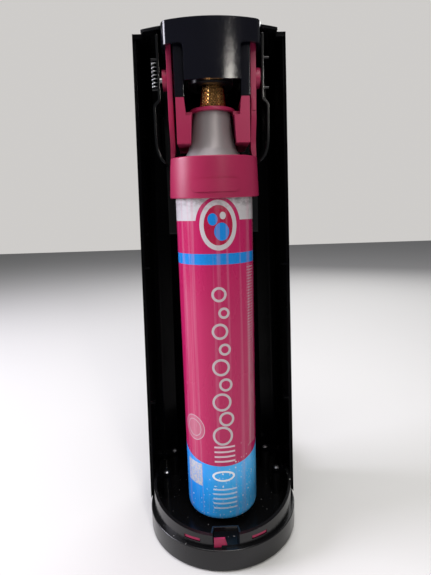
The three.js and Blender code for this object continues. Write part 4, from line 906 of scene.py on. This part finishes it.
def makeFoot():
    low = edgesOf("base_housing")[0][2]
    ledge, floor, under, lip, tail = (foot[key] for key in ("ledge", "floor", "under", "lip", "lipTail"))
    lipIn, front, notch, slot = lip - foot["lipWall"], foot["front"], foot["notch"] / 2, foot["slot"]

    def stadium(inset):
        radius = foot["half"] - inset
        return [*arc(0, 0, radius, 0, 180, 64), *arc(0, front, radius, 180, 360, 64)]

    piece = raised("foot", stadium(0), low, ledge)
    roundEdges(piece, 0.9, 3, 60)
    carve(piece, raised("under", stadium(foot["wall"]), low - 1, under))
    room = [*columnLine(3.6), *arc(0, 0, lipIn, 0, 180, 72)[1:-1]]
    carve(piece, raised("room", room, floor, ledge + 1),
          upright("well", foot["well"], (0, bottleY), floor, ledge + 1, 96))
    for y in (front, front / 2, 0):
        unite(piece, block("rib", (3 - foot["half"], y - 0.9, low + 2), (foot["half"] - 3, y + 0.9, under + 0.5)))
    for x, y, _ in middlesOf("foot_pad"):
        carve(piece, upright("padRoom", foot["padRoom"], (x, y), 0, under))
        seat = upright("padSeat", foot["padSeat"], (x, y), low, under + 0.5, 48)
        unite(piece, carve(seat, upright("padHole", foot["padHole"], (x, y), 0, low + 1.7, 48)))

    wall = raised("lip", [*arc(0, 0, lip, 0, 180, 96), (-lip, -tail), (-lipIn, -tail), *arc(0, 0, lipIn, 180, 0, 96),
                          (lipIn, -tail), (lip, -tail)], ledge - 1, foot["lipFront"] + foot["lipSweep"])
    choose(wall)
    editMode()
    bpy.ops.mesh.bisect(plane_co=put(0, 0, foot["lipFront"] + foot["lipSweep"]), use_fill=True, clear_outer=True,
                        plane_no=Vector((0, foot["lipSweep"], lip)).normalized())
    objectMode()
    near, far = foot["cut"]
    carve(wall, block("notch", (-notch, near, ledge), (notch, far, foot["notchTop"])))
    for side in (1, -1):
        carve(wall, sideBlock("slot", side, *slot, (near, far),
                              (foot["slotLow"], foot["slotLow"] + foot["slotHeight"])))
    roundEdges(wall, 0.8, 3, 50)
    back, thick = foot["pocketBack"] / 2, foot["pocketWall"]
    rear, mouth = lip - foot["pocketReach"] - thick, math.sqrt(lipIn ** 2 - notch ** 2) + 0.5
    for side in (1, -1):
        cheek = onSide([(notch, mouth), (back, rear), (back + thick, rear), (notch + thick, mouth)], side)
        unite(wall, roundEdges(raised("pocketSide", cheek, foot["pocketLow"], foot["lipFront"]), 0.35))
    pocket = block("pocketBack", (-back - 0.5, rear, foot["pocketBackLow"]),
                   (back + 0.5, rear + thick, foot["lipFront"]))
    unite(piece, unite(wall, roundEdges(pocket, 0.35)))
    for x, y, _ in middlesOf("post_screw"):
        unite(piece, upright("post", foot["post"], (x, y), floor - 1, foot["postHigh"]))
        carve(piece, upright("thread", screwRoom, (x, y), floor + 2, foot["postHigh"] + 1, 16))
    settle(piece, "base_housing", finish="foot_black")


# The latch bar behind the lip: a springy strip, two tongues in the slots and a tab in the notch
def makeLatch():
    latch = {"play": 0.6, "thick": 2.4, "reach": 0.62, "inSlot": 0.4, "tongueFace": 0.7, "tabFace": 0.4, "tab": 1.6,
             "hook": 3.6, "stem": (4, 8), "edge": 0.25}
    outside = foot["lip"] - foot["lipWall"] - latch["play"]
    inside = outside - latch["thick"]
    low, high = foot["floor"] + 0.3, foot["slotLow"] + foot["slotHeight"] + 0.9
    reach = math.degrees(latch["reach"])
    clear = math.degrees(math.asin((foot["notch"] / 2 + foot["pocketWall"] + latch["play"]) / inside))

    def strip(name, start, end, top):
        return raised(name, [*arc(0, 0, outside, start, end, 24), *arc(0, 0, inside, end, start, 24)], low, top)

    piece = strip("latchSpring", 90 - reach, 90 + reach, low + 3)
    unite(piece, strip("blade", 90 - reach, 90 - clear, high), strip("blade", 90 + clear, 90 + reach, high))
    near, far = foot["slot"][0] + latch["inSlot"], foot["slot"][1] - latch["inSlot"]
    xs = [near + (far - near) * step / 8 for step in range(9)]
    face, root = foot["lip"] - latch["tongueFace"], inside + 0.8
    for side in (1, -1):
        ring = [*[(side * x, math.sqrt(face ** 2 - x * x)) for x in xs],
                *[(side * x, math.sqrt(root ** 2 - x * x)) for x in reversed(xs)]]
        unite(piece, raised("tongue", ring, foot["slotLow"] + 0.3, foot["slotLow"] + foot["slotHeight"] - 0.3))
    tabSide, tabLow, tabFace = foot["notch"] / 2 - 1, foot["ledge"] + 0.3, foot["lip"] - latch["tabFace"]
    thick, hook, (stemIn, stemOut) = latch["tab"], latch["hook"], latch["stem"]
    tab = [(tabSide, tabLow), (tabSide, high + 0.4), (0.9, high + 0.4), (-0.6, tabLow + thick),
           (hook, tabLow + thick), (hook, tabLow)]
    unite(piece, pushed("tab", tab, tabFace - thick, tabFace),
          block("stem", (stemIn, inside, tabLow), (stemOut, tabFace - 1, tabLow + 2)),
          block("stemFoot", (stemIn, inside, low), (stemOut, outside - 0.4, tabLow + 2)))
    roundEdges(piece, latch["edge"])
    settle(piece, "latch_bar")


# The column: two side walls and the hollow front wall, narrowing upwards, with a rebate for the rear cover
def makeColumn():
    low, high = edgesOf("column_shell")
    column = {"wall": 2.6, "rebate": 0.7, "rebateDepth": 2.4, "spread": 1.0126, "tick": 4.2, "ticksAt": (109, 226),
              "rail": 7.6, "lug": (30.3, 33.3), "lugHole": (29, 35), "mouth": 15, "mouthRun": (-63, -31.2)}
    wall, rebate, spread, lug, mouth = (column[key] for key in ("wall", "rebate", "spread", "lug", "mouth"))
    bottom, top = low[2], high[2]
    piece = raised("column", [*columnLine(0), *reversed(columnLine(wall))], bottom, top)
    pickVertices(piece, lambda place: place.z > (top - 1) * mm)
    stretch((lean, 1, 1), put(0, 0, top))
    pick()
    stretch((spread, 1, 1), put(0, 0, 0))
    objectMode()

    def halfAt(z):
        share = (z - foot["ledge"]) / (top - foot["ledge"])
        return foot["half"] * spread * (1 - (1 - lean) * max(share, 0))

    for side in (1, -1):
        footEdge, topEdge, depth = halfAt(bottom) - rebate, halfAt(top) - rebate, wall + 1
        wedge = [(footEdge, bottom - 1), (topEdge, top + 1), (topEdge - depth, top + 1), (footEdge - depth, bottom - 1)]
        carve(piece, pushed("rebate", onSide(wedge, side), -column["rebateDepth"], 1))
    roundEdges(piece, 0.45)
    for x, y, _ in middlesOf("post_screw"):
        tab = sideBlock("lug", 1 if x > 0 else -1, abs(x), halfAt(32) - 1.6, (y - foot["post"], y + foot["post"]), lug)
        unite(tab, upright("lugEnd", foot["post"], (x, y), *lug))
        roundEdges(tab, 0.3)
        unite(piece, carve(tab, upright("lugHole", screwRoom, (x, y), *column["lugHole"], 20)))
    for side in (1, -1):
        rail = sideBlock("topRail", side, halfAt(top) - column["rail"], halfAt(top) - 0.3, (-14, -0.3),
                         (top - 3.6, top))
        unite(piece, roundEdges(rail, 0.4))
    for z in column["ticksAt"]:
        for side in (1, -1):
            tick = sideBlock("tick", side, halfAt(z) - wall - column["tick"], halfAt(z) - 1.4, (-5.5, -0.8),
                             (z - 0.7, z + 0.7))
            unite(piece, roundEdges(tick, 0.2))
    near, far = column["mouthRun"]
    carve(piece, block("tubeMouth", (-mouth, near, tubeMouthLow), (mouth, far, top + 1)))
    # its finish is the darker, duller copy of gloss black: painted shade for the inside of the column
    settle(piece, "column_shell", finish="column_black_shaded")


# The head over the bottle: a hollow shell with a round mouth, brackets, a bridge and the button's guide
def makeHead():
    low, high = edgesOf("head_housing")
    bottom, top = low[2], high[2]
    head = {"wall": 2.6, "mouth": 38, "back": -62.3, "hollow": 47.7, "bridge": bottom + 44, "bridgeHole": 9.3,
            "guide": top - 1, "guideHole": 4.6, "bracket": 38.4, "tubeMouth": 15, "mouthRun": (-60, -36.5)}
    wall, bridgeLow, guideTop, mouth = head["wall"], head["bridge"], head["guide"], head["tubeMouth"]
    near, far = head["mouthRun"]
    leanLow = 1 - (1 - lean) * (bottom - foot["ledge"]) / (top - foot["ledge"])

    def outline(inset):
        half, back, hollow = foot["half"] - inset, head["back"] - inset, head["hollow"] - inset
        turn = math.degrees(math.asin((back - bottleY) / hollow))
        return [(-half, back), *arc(0, foot["front"], half, 180, 360, 64), (half, back),
                *arc(0, bottleY, hollow, turn, 180 - turn, 40)]

    def body(name, inset, start, end):
        shell = raised(name, outline(inset), start, end)
        for level, share in ((start, leanLow), (end, lean)):
            pickVertices(shell, lambda place: abs(place.z / mm - level) < 0.01)
            stretch((share, 1, 1), put(0, 0, level))
            pick("DESELECT")
            objectMode()
            pickVertices(shell, lambda place: abs(place.z / mm - level) < 0.01
                         and (place.y - axisY) / mm < foot["front"])
            stretch((1, share, 1), put(0, foot["front"], level))
            objectMode()
        return shell

    piece = body("headCasing", 0, bottom, top)
    roundEdges(piece, 0.9, 3, 60)
    carve(piece, upright("mouth", head["mouth"], (0, bottleY), bottom - 1, bottom + wall + 1, 96),
          body("hollow", wall, bottom + wall, top + 1),
          block("backMouth", (-mouth, near, tubeMouthLow), (mouth, far, top + 1)))
    inner = high[0] - wall - 2
    bridge = block("bridge", (-inner - 1.5, bottleY - 11, bridgeLow), (inner + 1.5, bottleY + 11, bridgeLow + 4))
    carve(bridge, upright("bridgeHole", head["bridgeHole"], (0, bottleY), bridgeLow - 1, bridgeLow + 5, 48))
    guide = block("guide", (1.5 - inner, buttonY - 9, guideTop - 2.4), (inner - 1.5, buttonY + 9, guideTop))
    carve(guide, upright("guideHole", head["guideHole"], (0, buttonY), guideTop - 4, guideTop + 1))
    for shelf in (bridge, guide):  # their ends stop inside the wall
        carve(shelf, body("skin", wall / 2, bottom, top), kind="INTERSECT")
    pinZ = edgesOf("holder_pin_right")[0][2] + 2
    for side in (1, -1):
        bracket = sideBlock("bracket", side, head["bracket"], head["bracket"] + 3, (bottleY - 6, bottleY + 6),
                            (bottom + 1, pinZ + 6))
        roundEdges(bracket, 0.4)
        unite(piece, carve(bracket, sideRod("bracketHole", pinRoom, side, 37, 43, bottleY, pinZ, 24)))
    unite(piece, bridge, guide)
    settle(piece, "head_housing")


# The lid: half a dome over the head that runs back as a ridge and dies out at the rear tongue
def makeLid():
    half, seam, front = edgesOf("top_cap")[1][0], edgesOf("column_shell")[1][2] + 0.3, foot["front"]
    lid = {"rise": 16, "skirt": 1.4, "round": 2 / 3, "ramp": 50, "ridgeEnd": -10, "tongue": 50, "tongueRadius": 115,
           "tongueReach": 5, "tongueFrom": -14, "tongueRoot": -45, "hoodRoom": (-9, 27), "wall": 2.2, "thin": 0.86,
           "button": 33.4, "steps": 36}
    spring, wall, power, tongue = seam + lid["skirt"], lid["wall"], lid["round"], lid["tongue"]
    turns = [math.pi / 2 * step / 20 for step in range(20)]
    profile = [(half * math.cos(turn) ** power, spring + lid["rise"] * math.sin(turn) ** power) for turn in turns]
    piece = drawLine("lid", [put(radius, front, z) for radius, z in [*profile, (0, spring + lid["rise"])]])
    spun(piece, front, 72, 180)
    objectMode()
    pickVertices(piece, lambda place: abs((place.y - axisY) / mm - front) < 0.01)
    run = lid["ridgeEnd"] - front
    places = [front + run * step / lid["steps"] for step in range(lid["steps"] + 1)]
    for before, after in zip(places, places[1:]):
        pullOut((0, (after - before) * mm, 0))
        shares = [min(-y / lid["ramp"], 1) for y in (before, after)]
        first, last = (max(share * share * (3 - 2 * share), 0.001) for share in shares)
        stretch((1, 1, last / first), put(0, after, spring))
    pick("DESELECT")
    bpy.ops.mesh.select_non_manifold(extend=False)
    bpy.ops.mesh.edge_face_add()
    pullOut((0, 0, -lid["skirt"] * mm))
    pick()
    bpy.ops.mesh.normals_make_consistent(inside=False)
    objectMode()

    # its hollow is the same form, drawn in by the wall
    choose(piece)
    bpy.ops.object.duplicate()
    hollow = bpy.context.object
    choose(hollow)
    editMode()
    length = run + half
    stretch(((half - wall) / half, (length - 2 * wall) / length, lid["thin"]),
            put(0, lid["ridgeEnd"] - length / 2, seam - 0.6))
    objectMode()
    carve(piece, hollow, upright("buttonHole", lid["button"], (0, buttonY), seam - 9, seam + 40, 96))
    roundEdges(piece, 0.35, 2, 50)
    centre = lid["tongueReach"] - math.sqrt(lid["tongueRadius"] ** 2 - tongue ** 2)
    turn, inHalf = math.degrees(math.asin(tongue / lid["tongueRadius"])), half - wall + 0.1
    corners = [(inHalf, lid["tongueRoot"]), (inHalf, lid["tongueFrom"]), (tongue, lid["tongueFrom"])]
    plate = raised("tongue", [*corners, *arc(0, centre, lid["tongueRadius"], 90 - turn, 90 + turn, 32),
                              *mirrored(corners)], seam - 1.6, seam + 0.6)
    roundEdges(plate, 0.4)
    hoodHalf, (near, far) = edgesOf("hood")[1][0] + 0.3, lid["hoodRoom"]
    unite(piece, carve(plate, block("hoodRoom", (-hoodHalf, near, seam - 9), (hoodHalf, far, seam))))
    settle(piece, "top_cap")


def makeButton():
    low, high = edgesOf("button")
    button = {"radius": high[0] * 1.006, "edge": high[2] - 4.5, "wall": 2.2, "stem": 4,
              "bottom": edgesOf("top_cap")[1][2] - 8.4}
    radius, edge, wall, stem, bottom = (button[key] for key in ("radius", "edge", "wall", "stem", "bottom"))
    top = high[2]
    profile = drawn((0, low[2]), (stem - 1, low[2]), (stem, low[2] + 1.2), (stem, top - wall - 2.4),
                    (stem + 1.2, top - wall - 1.3), (radius - wall - 4, edge - wall + 0.6),
                    (radius - wall, edge - wall - 1.6), (radius - wall, bottom), (radius - 0.4, bottom),
                    (radius, bottom + 0.4), (radius, edge - 1.6),
                    (8, (radius, edge), (radius - 0.8, edge + 0.8), (radius - 2.6, edge + 1.3)),
                    (14, (radius * 0.7, edge + 3.2), (radius * 0.35, top), (0, top)))
    settle(turned("pressButton", profile, 128, buttonY), "button")


# The bottle's side: tray, grille, holder, nozzle and its seal
def makeTray():
    tray = {"radius": 43.6, "bottom": edgesOf("drip_tray")[0][2], "rim": foot["ledge"] + 0.3, "wall": 2}
    radius, bottom, rim, inside = tray["radius"], tray["bottom"], tray["rim"], tray["radius"] - tray["wall"]
    profile = drawn((0, bottom), (radius - 2.4, bottom),
                    (5, (radius - 0.6, bottom), (radius, bottom + 0.8), (radius, bottom + 2.4)),
                    (radius, rim), (radius + 2.2, rim),
                    (6, (radius + 2.4, rim + 1), (radius + 2, rim + 1.7), (radius + 0.8, rim + 1.8)),
                    (inside + 0.4, rim + 1.8), (inside, rim + 1.4), (inside, rim - 1.2), (inside - 1.7, rim - 1.2),
                    (inside - 2, rim - 1.5), (inside - 2, bottom + 3.6), (inside - 4, bottom + 1.8), (0, bottom + 1.8))
    settle(turned("dripDish", profile, 112, bottleY), "drip_tray")

    low, high = edgesOf("tray_grille")
    grille = {"radius": 41.25, "pitch": 8, "slot": 1.7, "rim": 6, "edge": 0.35}
    radius, half = grille["radius"], grille["slot"]
    piece = upright("dripGrille", radius, (0, bottleY), low[2], high[2], 112)
    for row in range(-4, 5):
        across = row * grille["pitch"]
        reach, y = math.sqrt((radius - grille["rim"]) ** 2 - across ** 2) - half, across + bottleY
        slot = [*arc(reach, y, half, -90, 90, 8), *arc(-reach, y, half, 90, 270, 8)]
        carve(piece, raised("slot", slot, low[2] - 1, high[2] + 1))
    roundEdges(piece, grille["edge"])
    settle(piece, "tray_grille")


def makeHolder():
    headLow = edgesOf("head_housing")[0][2]
    holder = {"bottom": edgesOf("bottle_holder")[0][2], "top": headLow + 6, "throat": 20.6, "pivot": headLow + 12,
              "armOut": 33.5, "arm": 5, "gap": 13}
    bottom, top, throat, pivot = (holder[key] for key in ("bottom", "top", "throat", "pivot"))
    arm, armOut, gap, y = holder["arm"], holder["armOut"], holder["gap"], bottleY
    profile = drawn((throat, bottom + 0.5), (throat + 0.5, bottom), (throat + 3.4, bottom),
                    (10, (throat + 6, bottom + 2), (throat + 8.2, bottom + 6), (throat + 8.9, bottom + 11)),
                    (throat + 9.4, top - 0.5), (throat + 8.9, top), (throat + 7.5, top), (throat + 7, top - 0.5),
                    (10, (throat + 6.8, bottom + 12), (throat + 2, bottom + 9), (throat, bottom + 6)),
                    (throat, bottom + 0.5))
    piece = turned("bottleCup", profile, 96, y)
    carve(piece, block("frontGap", (-gap, y - 40, bottom - 1), (gap, y - 15, bottom + 15)))
    for side in (1, -1):
        bar = sideBlock("cupArm", side, throat + 7.4, armOut, (y - arm, y + arm), (top - 8, pivot))
        unite(bar, sideRod("cupEnd", arm, side, throat + 7.4, armOut, y, pivot, 40))
        carve(bar, sideRod("cupHole", pinRoom, side, throat, armOut + 1, y, pivot, 24))
        unite(piece, roundEdges(bar, 0.4))
    roundEdges(piece, 0.25, 2, 55)
    settle(piece, "bottle_holder")


def makeNozzle():
    low, high = edgesOf("nozzle")
    nozzle = {"radius": 3, "bore": 0.7, "play": 0.3}
    radius, bore, bottom, top = nozzle["radius"], nozzle["bore"], low[2], high[2]
    profile = drawn((0, bottom + 2), (bore, bottom + 2), (bore, bottom), (radius / 2, bottom),
                    (6, (radius * 0.75, bottom + 0.6), (radius * 0.8, bottom + 3),
                     (radius * 0.82, bottom + radius * 2)),
                    (radius, (bottom + top) / 2), (radius, top), (0, top))
    settle(turned("carbonatingTube", profile, 40, bottleY), "nozzle")
    low, high = edgesOf("nozzle_seal")
    hole, rim, bottom, top = radius + nozzle["play"], high[0] * 1.01, low[2], high[2]
    profile = drawn((hole, bottom), (rim * 0.78, bottom),
                    (8, (rim * 0.95, bottom + 1), (rim, bottom + 3), (rim, bottom + 6)), (rim, bottom + 8),
                    (8, (rim * 0.95, bottom + 10), (rim * 0.8, top), (rim * 0.6, top)), (hole, top), (hole, bottom))
    settle(turned("bottleSeal", profile, 64, bottleY), "nozzle_seal")


# Springs: a coil drawn as a line, given the wire's thickness
springs = {
    "detent_spring": {"name": "detentSpring", "radius": 1.7, "wire": 0.4, "turns": 7, "flat": 0.04},
    "button_spring": {"name": "buttonSpring", "radius": 7, "wire": 0.6, "turns": 5, "flat": 0.06},
}


def makeSpring(node, form):
    low, high = edgesOf(node)
    middle, radius, wire, flat = middleOf(node), form["radius"], form["wire"], form["flat"]
    bottom, top, steps, places = low[2] + wire, high[2] - wire, form["turns"] * 24, []
    for step in range(steps + 1):
        share, angle = step / steps, 2 * math.pi * form["turns"] * step / steps
        rise = min(max((share - flat) / (1 - 2 * flat), 0), 1)
        places.append(put(middle[0] + radius * math.cos(angle), middle[1] + radius * math.sin(angle),
                          bottom + (top - bottom) * rise))
    piece = drawLine(form["name"], places)
    objectMode()
    bpy.ops.object.convert(target="CURVE")
    piece = bpy.context.object
    piece.data.bevel_depth = wire * mm
    piece.data.bevel_resolution = 3
    piece.data.use_fill_caps = True
    bpy.ops.object.convert(target="MESH")
    piece = bpy.context.object
    piece.name = form["name"]
    settle(piece, node, 60)
    if node == "button_spring":
        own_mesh(piece)


for make in (makeHood, makeCylinder, makeCollar, makeValve, makeHandle, makeCarrier, makeInnerFrame, makeFoot,
             makeLatch, makeColumn, makeHead, makeLid, makeButton, makeTray, makeHolder, makeNozzle):
    make()
for node, form in springs.items():
    makeSpring(node, form)


# Pieces whose CAD form is kept, with their edges rounded
kept = {
    "gas_head": {"name": "gasBlock", "edge": 0.4},
    "nozzle_block": {"name": "nozzleMount", "edge": 0.4},
    "lever": {"name": "pushLever", "edge": 0.3},
}


def roundedCopy(node, name, edge):
    choose(frame["nodes"][node])
    bpy.ops.object.duplicate()
    piece = bpy.context.object
    piece.name = name
    piece.data.name = name
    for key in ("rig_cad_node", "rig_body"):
        del piece[key]
    editMode()
    bpy.ops.mesh.remove_doubles(threshold=0.00002)
    bpy.ops.mesh.dissolve_limited(angle_limit=math.radians(1.5))
    objectMode()
    roundEdges(piece, edge)
    settle(piece, node)


for node, form in kept.items():
    roundedCopy(node, form["name"], form["edge"])
print("rounded copies made:", len(kept))


# CAD nodes that stay as they are
for name, node in frame["nodes"].items():
    if not node.hide_render:
        paint(node, slotOf[name])


def makeFloor():
    bpy.ops.object.select_all(action="DESELECT")
    bpy.ops.mesh.primitive_plane_add(size=floorLook["size"], location=(0, 0, 0))
    floor = startPiece("floor")
    material, tree, shader = startMaterial("floorPaint", {"Roughness": floorLook["roughness"]})
    tone = spread(tree, cloud(tree, objectPlace(tree), 3, 2), 0.3, 0.7, 0, 0.4)
    soft = darker(floorLook["colour"], floorLook["tone"])
    tree.links.new(blendColour(tree, tone, floorLook["colour"], soft), shader.inputs["Base Color"])
    floor.data.materials.append(material)


makeFloor()
